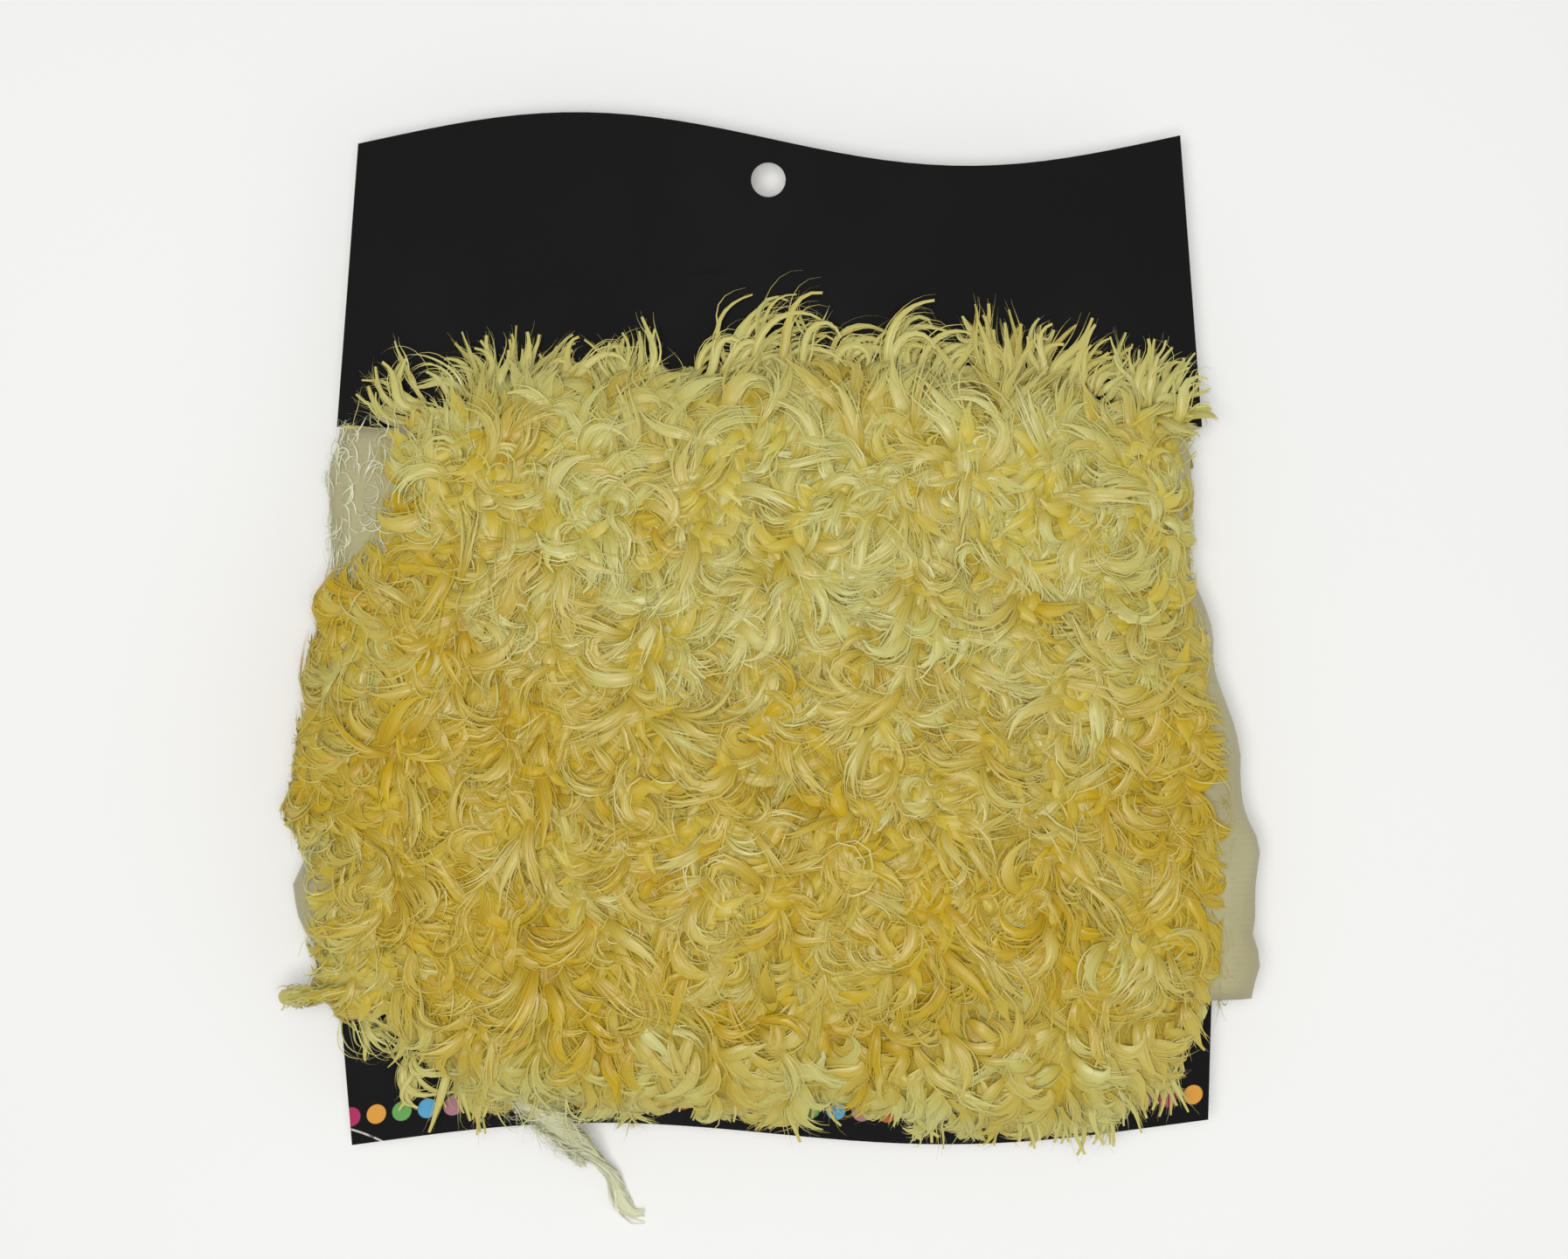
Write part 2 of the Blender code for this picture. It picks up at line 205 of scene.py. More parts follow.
class NodeBench:
    """Short ways to lay shader nodes in one node tree."""

    def __init__(self, tree: bpy.types.NodeTree) -> None:
        """Works on this tree."""
        self.tree = tree

    def node(self, kind: str, **settings: object) -> bpy.types.Node:
        """Adds a node.

        Args:
            kind: the node's type.
            settings: values for its own properties.

        Returns:
            The node.
        """
        made = self.tree.nodes.new(kind)
        for key, value in settings.items():
            setattr(made, key, value)
        return made

    def put(self, socket: Socket, value: object) -> None:
        """Feeds a socket.

        Args:
            socket: the socket.
            value: a socket that is linked to it, or a plain value. A colour's three numbers get
                an alpha of 1.
        """
        if isinstance(value, bpy.types.NodeSocket):
            self.tree.links.new(value, socket)
        elif isinstance(value, tuple) and len(value) == 3 and socket.type == "RGBA":
            socket.default_value = (*value, 1.0)
        else:
            socket.default_value = value

    def math(self, operation: str, *values: object, clamp: bool = False) -> Socket:
        """A Math node.

        Args:
            operation: what it works out.
            values: its inputs, each a socket or a number.
            clamp: whether the result is held between 0 and 1.

        Returns:
            The result.
        """
        made = self.node("ShaderNodeMath", operation=operation, use_clamp=clamp)
        for socket, value in zip(made.inputs, values):
            self.put(socket, value)
        return made.outputs[0]

    def mix(self, factor: object, one: object, two: object, blend: str = "MIX") -> Socket:
        """A Mix node for colours, whose sockets 6 and 7 are the two colours.

        Args:
            factor: how much of two there is, 0 to 1.
            one, two: the colours, each a socket or three numbers.
            blend: how two is laid over one.

        Returns:
            The mixed colour.
        """
        made = self.node("ShaderNodeMix", data_type="RGBA", blend_type=blend)
        self.put(made.inputs[0], factor)
        self.put(made.inputs[6], one)
        self.put(made.inputs[7], two)
        return made.outputs[2]

    def noise(self, place: Socket, scale: float, detail: float = 2.0) -> Socket:
        """Soft noise.

        Args:
            place: where it is read.
            scale: how fine it is, in lumps to a unit of the place.
            detail: how many finer octaves are added.

        Returns:
            Its value, 0 to 1.
        """
        made = self.node("ShaderNodeTexNoise")
        self.put(made.inputs["Vector"], place)
        made.inputs["Scale"].default_value = scale
        made.inputs["Detail"].default_value = detail
        return made.outputs["Fac"]

    def span(self, value: Socket, low: float, high: float, to: tuple[float, float]) -> Socket:
        """Carries one stretch of numbers smoothly over to another.

        Args:
            value: a number in the first stretch.
            low, high: the ends of the first stretch.
            to: the ends of the second.

        Returns:
            The number in the second stretch.
        """
        made = self.node("ShaderNodeMapRange", interpolation_type="SMOOTHSTEP")
        for name, number in zip(("Value", "From Min", "From Max"), (value, low, high)):
            self.put(made.inputs[name], number)
        self.put(made.inputs["To Min"], to[0])
        self.put(made.inputs["To Max"], to[1])
        return made.outputs["Result"]

    def scaled(self, place: Socket, scale: tuple[float, float, float]) -> Socket:
        """Scales a place.

        Args:
            place: the place.
            scale: the factor for each axis.

        Returns:
            The scaled place.
        """
        made = self.node("ShaderNodeMapping")
        self.put(made.inputs["Vector"], place)
        made.inputs["Scale"].default_value = scale
        return made.outputs["Vector"]

    def joined(self, x: object, y: object, z: object = 0.0) -> Socket:
        """Makes a vector.

        Args:
            x, y, z: its numbers, each a socket or a plain value.

        Returns:
            The vector.
        """
        made = self.node("ShaderNodeCombineXYZ")
        for socket, value in zip(made.inputs, (x, y, z)):
            self.put(socket, value)
        return made.outputs[0]

    def parts(self, vector: Socket) -> Sequence[Socket]:
        """Takes a vector apart.

        Args:
            vector: the vector.

        Returns:
            Its three numbers.
        """
        made = self.node("ShaderNodeSeparateXYZ")
        self.put(made.inputs[0], vector)
        return made.outputs

    def bump(self, height: Socket, strength: float, distance: float) -> Socket:
        """A Bump node.

        Args:
            height: the heights.
            strength: how much of the relief shows, 0 to 1.
            distance: how far a height of 1 stands out, in metres.

        Returns:
            The bent normal.
        """
        made = self.node("ShaderNodeBump")
        made.inputs["Strength"].default_value = strength
        made.inputs["Distance"].default_value = distance
        self.put(made.inputs["Height"], height)
        return made.outputs["Normal"]


def blank_material(name: str, **constants: object) -> tuple[NodeBench, bpy.types.Node]:
    """A material with one Principled shader.

    Args:
        name: the material's name.
        constants: values for the shader's own sockets, with _ for a space in the socket's name.

    Returns:
        The bench on its tree, and the shader.
    """
    material = bpy.data.materials.new(name)
    material.use_nodes = True
    bench = NodeBench(material.node_tree)
    shader = material.node_tree.nodes["Principled BSDF"]
    for key, value in constants.items():
        bench.put(shader.inputs[key.replace("_", " ")], value)
    return bench, shader


def make_group(
    name: str, given: Sequence[str], colours: Sequence[str], out: Sequence[str]
) -> tuple[bpy.types.NodeTree, NodeBench, bpy.types.NodeOutputs, bpy.types.Node]:
    """A shader node group with float and colour inputs.

    Args:
        name: the group's name.
        given: names of its float inputs.
        colours: names of its colour inputs.
        out: names of its outputs; one called Color is a colour and the rest are floats.

    Returns:
        The group, a bench on it, its inputs' sockets by name, and its output node.
    """
    group = bpy.data.node_groups.new(name, "ShaderNodeTree")
    for key in given:
        group.interface.new_socket(name=key, in_out="INPUT", socket_type="NodeSocketFloat")
    for key in colours:
        group.interface.new_socket(name=key, in_out="INPUT", socket_type="NodeSocketColor")
    for key in out:
        kind = "NodeSocketColor" if key == "Color" else "NodeSocketFloat"
        group.interface.new_socket(name=key, in_out="OUTPUT", socket_type=kind)
    bench = NodeBench(group)
    sources = bench.node("NodeGroupInput").outputs
    sink = bench.node("NodeGroupOutput")
    return group, bench, sources, sink


def fibre_dye_and_shade_group() -> bpy.types.NodeTree:
    """The dye of a fibre with its painted shade, from where along it and how pale it is.

    Along runs from 0 at the root to 1 at the tip, and Dye from 0, deep, to 1, pale. The root's
    colour passes into the tip's; the root's deeper golden is partly the pile's own tone and partly
    painted shade deep in the pile. Fine streaks that run with the fibre lighten and darken it,
    lighter on their ridges and darker in their grooves: partly the fibres' own tones and partly
    painted light and shade.

    Returns:
        The group. Its Streak output is the streaks' heights.
    """
    group, bench, given, sink = make_group(
        "fibre_dye_and_shade",
        ("Along", "Dye"),
        ("Deep Root", "Pale Root", "Deep Tip", "Pale Tip"),
        ("Color", "Roughness", "Streak"),
    )
    # Deeper golden at the roots: partly the pile's own tone, partly painted shade deep in the pile.
    root = bench.mix(given["Dye"], given["Deep Root"], given["Pale Root"])
    tip = bench.mix(given["Dye"], given["Deep Tip"], given["Pale Tip"])
    base = bench.mix(bench.span(given["Along"], 0.08, 0.7, (0.0, 1.0)), root, tip)
    way = bench.joined(bench.math("MULTIPLY", given["Along"], 3.0), given["Dye"])
    fine = bench.noise(bench.scaled(way, (1.0, 170.0, 1.0)), 1.0, 3.0)
    # The streaks lighten the colour on the bump's ridges and darken it in its grooves: partly
    # painted light and shade.
    streak = bench.span(fine, 0.28, 0.72, (0.94, 1.04))
    sink_colour = bench.mix(1.0, base, bench.joined(streak, streak, streak), "MULTIPLY")
    bench.put(sink.inputs["Color"], sink_colour)
    bench.put(sink.inputs["Roughness"], bench.span(fine, 0.3, 0.7, (0.48, 0.33)))
    bench.put(sink.inputs["Streak"], fine)
    return group


@dataclass(frozen=True)
class FibreFinish:
    """A finish for fibres: four dye colours, whose deeper roots are partly painted shade, and how
    glossy the fibre is.

    With matted, each face shows many short tangled fibres instead of one, with their light and
    shade painted into the colour. matting is how fine these are along x, y and z, in lumps to a
    metre.
    """

    name: str
    deep_root: Colour
    pale_root: Colour
    deep_tip: Colour
    pale_tip: Colour
    gloss: float = 0.5
    sheen: float = 0.3
    sheen_tint: Colour = (1.0, 0.93, 0.55)
    matted: bool = False
    matting: tuple[float, float, float] = (950.0, 230.0, 420.0)

    def material(self, dye: bpy.types.NodeTree) -> bpy.types.Material:
        """Reads the piece's own map: across it the place along the fibre, up it the dye.

        Args:
            dye: the group that dyes a fibre and paints its shade.

        Returns:
            The material.
        """
        bench, shader = blank_material(
            self.name,
            Specular_IOR_Level=self.gloss,
            Sheen_Weight=self.sheen,
            Sheen_Roughness=0.5,
            Sheen_Tint=self.sheen_tint,
        )
        place = bench.node("ShaderNodeUVMap", uv_map=PILE_MAP).outputs["UV"]
        across, up, _ = bench.parts(place)
        group = bench.node("ShaderNodeGroup", node_tree=dye)
        bench.put(group.inputs["Along"], across)
        bench.put(group.inputs["Dye"], up)
        for key in ("Deep Root", "Pale Root", "Deep Tip", "Pale Tip"):
            bench.put(group.inputs[key], getattr(self, key.lower().replace(" ", "_")))
        bench.put(shader.inputs["Roughness"], group.outputs["Roughness"])
        colour, ridges = group.outputs["Color"], bench.bump(group.outputs["Streak"], 0.15, 0.0002)
        if self.matted:
            colour, ridges = self.tangle(bench, colour)
        bench.put(shader.inputs["Base Color"], colour)
        bench.put(shader.inputs["Normal"], ridges)
        return bpy.data.materials[self.name]

    def tangle(self, bench: NodeBench, colour: Socket) -> tuple[Socket, Socket]:
        """Short matted fibres: fine noise that is drawn out along y and bent to and fro.

        Args:
            bench: the bench on the material's tree.
            colour: the fibres' colour.

        Returns:
            The colour with the fibres' painted light and shade on it, and their relief.
        """
        place = bench.node("ShaderNodeTexCoord").outputs["Object"]
        x, y, z = (
            bench.math("MULTIPLY", part, fine)
            for part, fine in zip(bench.parts(place), self.matting)
        )
        bent = bench.math("MULTIPLY_ADD", bench.noise(place, 110.0, 1.0), 9.0, x)
        strands = bench.noise(bench.joined(bent, y, z), 1.0, 3.0)
        # Painted light and shade of the strands: lighter on the bump's ridges, darker in its
        # grooves.
        shade = bench.span(strands, 0.32, 0.68, (0.80, 1.14))
        shaded = bench.mix(1.0, colour, bench.joined(shade, shade, shade), "MULTIPLY")
        return shaded, bench.bump(strands, 0.85, 0.0009)


@dataclass(frozen=True)
class KnitFinish:
    """The cloth's cream backing: a fine knit with wales and courses, a little soiled."""

    name: str = "cream_knit"
    cream: Colour = (0.51, 0.48, 0.275)
    shade: Colour = (0.42, 0.38, 0.21)
    wales_across: float = 190.0
    courses_along: float = 1500.0

    def material(self) -> bpy.types.Material:
        """Wales and courses are sine ridges on the cloth's own map, and soft clouds soil it. The
        ridges also lighten the colour a little and their grooves darken it, as painted shade.

        Returns:
            The material.
        """
        bench, shader = blank_material(
            self.name, Specular_IOR_Level=0.25, Sheen_Weight=0.25, Sheen_Roughness=0.5
        )
        place = bench.node("ShaderNodeUVMap", uv_map=PILE_MAP).outputs["UV"]
        along, across, _ = bench.parts(place)
        wale = bench.math("SINE", bench.math("MULTIPLY", across, TAU * self.wales_across))
        course = bench.math("SINE", bench.math("MULTIPLY", along, TAU * self.courses_along))
        knit = bench.math("MULTIPLY_ADD", wale, 0.5, bench.math("MULTIPLY", course, 0.35))
        cloudy = bench.noise(bench.scaled(place, (9.0, 1.0, 1.0)), 7.0, 4.0)
        # Soiling from the clouds, and a little painted shade from the knit's grooves.
        worn = bench.math("MULTIPLY_ADD", knit, 0.04, cloudy)
        colour = bench.mix(bench.span(worn, 0.3, 0.75, (0.0, 1.0)), self.shade, self.cream)
        bench.put(shader.inputs["Base Color"], colour)
        bench.put(shader.inputs["Roughness"], bench.span(cloudy, 0.3, 0.7, (0.78, 0.92)))
        bench.put(shader.inputs["Normal"], bench.bump(knit, 0.1, 0.0002))
        return bpy.data.materials[self.name]


@dataclass(frozen=True)
class CardFinish:
    """Stiff board: dark satin print on the face, bare board behind and at its cut edges.

    A row of small plain dots runs along the foot, and a white crack marks a bent corner. The
    print_level, above which the board is printed, is in metres, and the other sizes are in
    millimetres. The cut foot is a shallow sloping wave, and the dots stand dot_lift above it.
    """

    name: str = "printed_card"
    ink: Colour = (0.0042, 0.0038, 0.0044)
    ink_worn: Colour = (0.0085, 0.0080, 0.0088)
    board: Colour = (0.60, 0.58, 0.54)
    print_level: float = 0.01425
    dot_radius: float = 1.72
    dot_pitch: float = 4.56
    dot_start: float = -75.2
    dot_lift: float = 4.95
    dot_edge: float = 0.08
    foot_level: float = -75.3
    foot_slope: float = 0.02
    foot_wave: float = 2.1
    foot_wave_length: float = 140.0
    crack_start: tuple[float, float] = (-75.2, -74.55)
    crack_end: float = -69.0
    crack_slope: float = -0.27
    crack_bow: float = 0.02
    dot_colours: tuple[Colour, ...] = (
        (0.42, 0.035, 0.12),
        (0.72, 0.34, 0.06),
        (0.14, 0.38, 0.10),
        (0.11, 0.38, 0.62),
        (0.42, 0.20, 0.24),
        (0.50, 0.16, 0.05),
        (0.36, 0.22, 0.34),
        (0.40, 0.24, 0.28),
    )

    def dots(self, bench: NodeBench, x: Socket, y: Socket) -> tuple[Socket, Socket]:
        """The row of dots: each sits at a whole number of pitches, and follows the foot's wave.

        Args:
            bench: the bench on the card's tree.
            x, y: place on the card in millimetres.

        Returns:
            The mask of the dots, and their colour.
        """
        step = bench.math("DIVIDE", bench.math("SUBTRACT", x, self.dot_start), self.dot_pitch)
        number = bench.math("ROUND", step)
        near_x = bench.math("MULTIPLY", bench.math("SUBTRACT", step, number), self.dot_pitch)
        wave = bench.math("SINE", bench.math("MULTIPLY", x, TAU / self.foot_wave_length))
        edge = bench.math("MULTIPLY_ADD", x, self.foot_slope, self.foot_level + self.dot_lift)
        row = bench.math("MULTIPLY_ADD", wave, -self.foot_wave, edge)
        near_y = bench.math("SUBTRACT", y, row)
        far = bench.math("SQRT", bench.math(
            "ADD", bench.math("MULTIPLY", near_x, near_x), bench.math("MULTIPLY", near_y, near_y)
        ))
        inner, outer = self.dot_radius - self.dot_edge, self.dot_radius + self.dot_edge
        mask = bench.span(far, inner, outer, (1.0, 0.0))
        count = len(self.dot_colours)
        turn = bench.math("DIVIDE", bench.math("FLOORED_MODULO", number, float(count)), count)
        ramp = bench.node("ShaderNodeValToRGB")
        ramp.color_ramp.interpolation = "CONSTANT"
        stops = ramp.color_ramp.elements
        stops[0].color = (*self.dot_colours[0], 1.0)
        stops[1].position = (count - 1.2) / count
        stops[1].color = (*self.dot_colours[-1], 1.0)
        for k, colour in enumerate(self.dot_colours[1:-1], start=1):
            stops.new((k - 0.2) / count).color = (*colour, 1.0)
        bench.put(ramp.inputs[0], turn)
        return mask, ramp.outputs["Color"]

    def material(self) -> bpy.types.Material:
        """The layers are told apart by height, and the marks by place on the card.

        Returns:
            The material.
        """
        bench, shader = blank_material(self.name, Specular_IOR_Level=0.06)
        place = bench.node("ShaderNodeTexCoord").outputs["Object"]
        x_m, y_m, z_m = bench.parts(place)
        x, y = (bench.math("MULTIPLY", part, 1 / MM) for part in (x_m, y_m))
        cloudy = bench.noise(place, 30.0, 4.0)
        fine = bench.noise(place, 900.0, 3.0)
        scuffed = bench.noise(bench.scaled(place, (60.0, 400.0, 1.0)), 1.0, 3.0)
        scuff = bench.span(scuffed, 0.66, 0.80, (0.0, 0.8))
        worn = bench.math("ADD", bench.span(cloudy, 0.35, 0.75, (0.0, 0.7)), scuff, clamp=True)
        ink = bench.mix(worn, self.ink, self.ink_worn)
        mask, dots = self.dots(bench, x, y)
        printed = bench.mix(mask, ink, dots)
        crack = self.crack(bench, x, y, fine)
        printed = bench.mix(crack, printed, self.board)
        pulp = bench.span(fine, 0.3, 0.7, (0.9, 1.04))
        board = bench.mix(1.0, self.board, bench.joined(pulp, pulp, pulp), "MULTIPLY")
        front = bench.math("GREATER_THAN", z_m, self.print_level)
        bench.put(shader.inputs["Base Color"], bench.mix(front, board, printed))
        gloss = bench.span(cloudy, 0.3, 0.7, (0.48, 0.60))
        rough = bench.math("ADD", gloss, bench.math("MULTIPLY", scuff, 0.2))
        plain = bench.math("SUBTRACT", 1.0, front)
        bench.put(
            shader.inputs["Roughness"],
            bench.math("ADD", rough, bench.math("MULTIPLY", plain, 0.4), clamp=True),
        )
        bench.put(shader.inputs["Normal"], bench.bump(fine, 0.08, 0.0001))
        return bpy.data.materials[self.name]

    def crack(self, bench: NodeBench, x: Socket, y: Socket, fine: Socket) -> Socket:
        """The white line where the foot's left corner was bent: a short bowed line.

        Its y is that of crack_start plus crack_slope c - crack_bow c^2, c being how far x is past
        the start, and the board's grain breaks it up.

        Args:
            bench: the bench on the card's tree.
            x, y: place on the card in millimetres.
            fine: the board's grain.

        Returns:
            The mask of the line.
        """
        from_corner = bench.math("ADD", x, -self.crack_start[0])
        bow = bench.math("POWER", from_corner, 2.0)
        sag = bench.math("MULTIPLY", bow, self.crack_bow)
        line = bench.math("MULTIPLY_ADD", from_corner, self.crack_slope, self.crack_start[1])
        away = bench.math("ABSOLUTE", bench.math("ADD", bench.math("SUBTRACT", y, line), sag))
        thin = bench.span(away, 0.1, 0.26, (1.0, 0.0))
        short = bench.span(x, self.crack_end - 0.6, self.crack_end, (1.0, 0.0))
        broken = bench.span(fine, 0.36, 0.48, (0.25, 1.0))
        return bench.math("MULTIPLY", bench.math("MULTIPLY", thin, short), broken)


@dataclass(frozen=True)
class FloorFinish:
    """A plain pale studio floor."""

    name: str = "studio_floor"
    pale: Colour = (0.95, 0.95, 0.94)

    def material(self) -> bpy.types.Material:
        """Almost even, with a faint mottle.

        Returns:
            The material.
        """
        bench, shader = blank_material(self.name, Roughness=0.9, Specular_IOR_Level=0.1)
        place = bench.node("ShaderNodeTexCoord").outputs["Object"]
        mottle = bench.span(bench.noise(place, 4.0), 0.3, 0.7, (0.985, 1.0))
        colour = bench.mix(1.0, self.pale, bench.joined(mottle, mottle, mottle), "MULTIPLY")
        bench.put(shader.inputs["Base Color"], colour)
        return bpy.data.materials[self.name]


# The wound cloth.


def table(*rows: tuple[float, float]) -> Array:
    """A dataclass field that holds pairs of numbers."""
    return field(default_factory=lambda: np.array(rows))


@dataclass
class WoundCloth:
    """The strip's knitted backing, wound outwards from the card in a flat spiral.

    Round each turn the section is a rounded slab, |s|^p + |h|^p = 1, where s is the share of the
    reach to the side and h the share of the depth over the card, and p is power. Both grow with
    the turns, from the notch and core_depth to the reach and front_depth or back_depth.

    left_edge and right_edge give the outermost turn's reach at each y, bare_left and bare_right
    how far out the pile grows before it is parted, and header_edge and foot_edge the y to which
    the locks stand over the cut edges at each x. The dense pile below them stops short of that
    by header_locks and foot_locks, and rolls over the edges as fullness says, 1 being an oval and
    less a fuller bulge. creases are the y of the left turn's buckles.
    """

    card_level: float = 14.0
    half_card: float = 0.5
    notch: float = 72.2
    top: float = 50.5
    bottom: float = -51.0
    power: float = 3.0
    core_depth: float = 1.2
    front_depth: float = 12.0
    back_depth: float = 10.6
    turns: float = 2.72
    end_angle: float = 2 * TAU + 0.75 * TAU + 0.35
    thickness: float = 0.5
    rim_pinch: float = 0.2
    rim_rounding: float = 17.0
    fullness: float = 0.75
    header_locks: float = 4.4
    foot_locks: float = 2.8
    back_overhang: float = 0.55
    left_inset: float = 2.4
    inset: float = 0.35
    hill_height: float = 0.9
    hill_size: float = 34.0
    samples: int = 6000
    rows: int = 36
    columns: int = 270
    left_edge: Array = table(
        (-51.0, 81.0), (-47.7, 82.2), (-45.8, 81.1), (-42.7, 81.4), (-40.0, 82.7), (-38.3, 85.2),
        (-32.8, 85.8), (-30.8, 86.3), (-25.2, 83.0), (-24.2, 83.6), (-18.9, 85.8), (-13.1, 86.4),
        (-5.9, 85.8), (0.6, 83.9), (5.9, 84.8), (12.0, 82.9), (18.1, 80.6), (22.3, 79.4),
        (27.2, 78.9), (36.4, 79.4), (41.1, 79.5), (45.6, 79.1), (49.4, 76.9), (50.8, 77.7),
    )
    right_edge: Array = table(
        (-51.0, 86.2), (-47.5, 86.9), (-44.1, 88.0), (-39.7, 86.3), (-35.9, 86.9), (-31.9, 86.7),
        (-24.4, 87.7), (-20.9, 86.7), (-18.0, 84.8), (-11.9, 84.1), (-7.0, 84.2), (-2.0, 83.0),
        (3.8, 80.8), (8.4, 79.2), (14.2, 79.4), (20.6, 77.3), (23.4, 75.4), (33.9, 74.9),
        (40.2, 75.6), (48.9, 74.6), (51.4, 74.7),
    )
    header_edge: Array = table(
        (-76.0, 50.5), (-69.0, 50.6), (-66.0, 52.0), (-60.0, 52.0), (-55.0, 53.0), (-50.0, 56.5),
        (-44.0, 61.0), (-36.0, 62.5), (-28.0, 63.0), (-20.0, 60.5), (-10.0, 61.5), (0.0, 63.0),
        (12.0, 64.0), (22.0, 64.0), (30.0, 61.0), (38.0, 60.0), (48.0, 59.0), (55.0, 57.0),
        (62.0, 56.5), (70.0, 57.5), (77.0, 55.0),
    )
    foot_edge: Array = table(
        (-77.0, -51.5), (-75.0, -52.0), (-69.0, -54.0), (-64.0, -57.5), (-57.0, -64.0),
        (-52.0, -71.5), (-47.0, -69.0), (-38.5, -69.0), (-32.0, -70.0), (-21.0, -71.5),
        (-12.6, -71.3), (-1.0, -71.8), (5.0, -73.0), (10.0, -67.5), (13.4, -68.0), (18.0, -71.0),
        (26.0, -73.5), (34.0, -74.0), (47.0, -74.5), (57.0, -74.8), (60.0, -73.5), (62.0, -71.0),
        (65.0, -70.5), (68.0, -72.0), (70.5, -71.0), (72.0, -63.0), (74.5, -54.5), (79.0, -51.0),
    )
    creases: tuple[float, ...] = (-22.8, -31.9, -35.9, -44.0)
    bare_left: Array = table(
        (-51.0, 82.0), (-46.0, 80.5), (-38.0, 79.0), (-28.0, 79.0), (-20.0, 81.0), (-15.0, 110.0),
        (17.0, 110.0), (21.0, 77.0), (25.0, 73.0), (29.0, 68.5), (36.0, 65.0), (44.0, 65.0),
        (51.0, 64.5),
    )
    bare_right: Array = table(
        (-51.0, 75.5), (-40.0, 76.5), (-30.0, 77.0), (-20.0, 78.0), (-10.0, 77.5), (0.0, 76.5),
        (10.0, 74.5), (20.0, 72.5), (30.0, 71.5), (51.0, 72.5),
    )

    def parting(self, x: Array, y: Array) -> Array:
        """How far out the pile grows before it is parted and leaves the cloth bare.

        Args:
            x, y: the places; of x only the side counts.

        Returns:
            The distance from the middle at each place.
        """
        left = np.interp(y, self.bare_left[:, 0], self.bare_left[:, 1])
        right = np.interp(y, self.bare_right[:, 0], self.bare_right[:, 1])
        return np.where(x > 0, right, left)

    def covered(self, spot: Array) -> Array:
        """Where the pile covers the cloth.

        Args:
            spot: (..., 3) places on the cloth.

        Returns:
            1 where it is covered, falling to 0 past the parting at the turned sides.
        """
        limit = self.parting(spot[..., 0], spot[..., 1])
        return smooth_step(2.6, -1.6, np.abs(spot[..., 0]) - limit)

    def cut_edge(self, rim: Rim) -> float:
        """The y of a cut edge."""
        return self.top if rim is Rim.HEADER else self.bottom

    def overhang(self, x: Array, rim: Rim, face: Face) -> Array:
        """How far the dense pile stands out over a cut edge.

        Args:
            x: where along the edge.
            rim: which edge.
            face: which side of the card.

        Returns:
            The distance past the edge at each x.
        """
        header = rim is Rim.HEADER
        rows = self.header_edge if header else self.foot_edge
        far = np.abs(np.interp(x, rows[:, 0], rows[:, 1]) - self.cut_edge(rim))
        far = np.maximum(far - (self.header_locks if header else self.foot_locks), 0.4)
        return far * (1.0 if face is Face.FRONT else self.back_overhang)

    def share(self, angle: Array) -> Array:
        """How far out the spiral is: 0 where the strip starts, 1 where it ends."""
        return 1.0 - (self.end_angle - angle) / (TAU * self.turns)

    def reach(self, right: Array, y: Array) -> Array:
        """How far the outermost turn of cloth reaches to the side.

        It stays inset under the pile, most of all at the left where the pile covers the turn.

        Args:
            right: whether it is the right side.
            y: where along the side.

        Returns:
            The distance from the middle.
        """
        right_x = np.interp(y, self.right_edge[:, 0], self.right_edge[:, 1])
        left_x = np.interp(y, self.left_edge[:, 0], self.left_edge[:, 1])
        full = smooth_step(-17.0, -13.0, y) * smooth_step(19.0, 15.0, y)
        return np.where(right, right_x, left_x - self.left_inset * full) - self.inset

    def rim_share(self, y: Array) -> Array:
        """How the turns' depth falls off in a round shoulder towards both cut edges."""
        inside = np.clip(np.minimum(self.top - y, y - self.bottom) / self.rim_rounding, 0.0, 1.0)
        return 1.0 - self.rim_pinch * (1.0 - np.sqrt(1.0 - (1.0 - inside) ** 2))

    def place(self, angle: Array, y: Array) -> Array:
        """Where the cloth is: the rounded slab of its turn, with soft hills and creases.

        Args:
            angle: how far round the spiral, from the right, anticlockwise seen from the foot.
            y: how far up the card.

        Returns:
            (..., 3) places.
        """
        angle, y = np.broadcast_arrays(angle, y)
        out = self.share(angle)
        side_share = np.where(
            np.cos(angle) > 0,
            out / self.share(np.array(2 * TAU)),
            out / self.share(np.array(2.5 * TAU)),
        )
        reach = self.notch + (self.reach(np.cos(angle) > 0, y) - self.notch) * np.clip(
            side_share, 0.0, 1.0
        )
        cosine, sine = np.cos(angle), np.sin(angle)
        s = np.sign(cosine) * np.abs(cosine) ** (2 / self.power)
        h = np.sign(sine) * np.abs(sine) ** (2 / self.power)
        front = self.core_depth + (self.front_depth - self.core_depth) * out / self.share(
            np.array(2.25 * TAU)
        )
        back = self.core_depth + (self.back_depth - self.core_depth) * out
        depth = np.where(sine > 0, front, back) * self.rim_share(y)
        hills = plane_waves(s * reach, y, self.hill_size, 2.0)
        depth = depth + self.hill_height * np.clip(out, 0, 1) * hills * np.abs(h)
        x = s * reach + self.crease_depth(angle, y)
        return np.stack([x, y, self.card_level + h * depth], axis=-1)

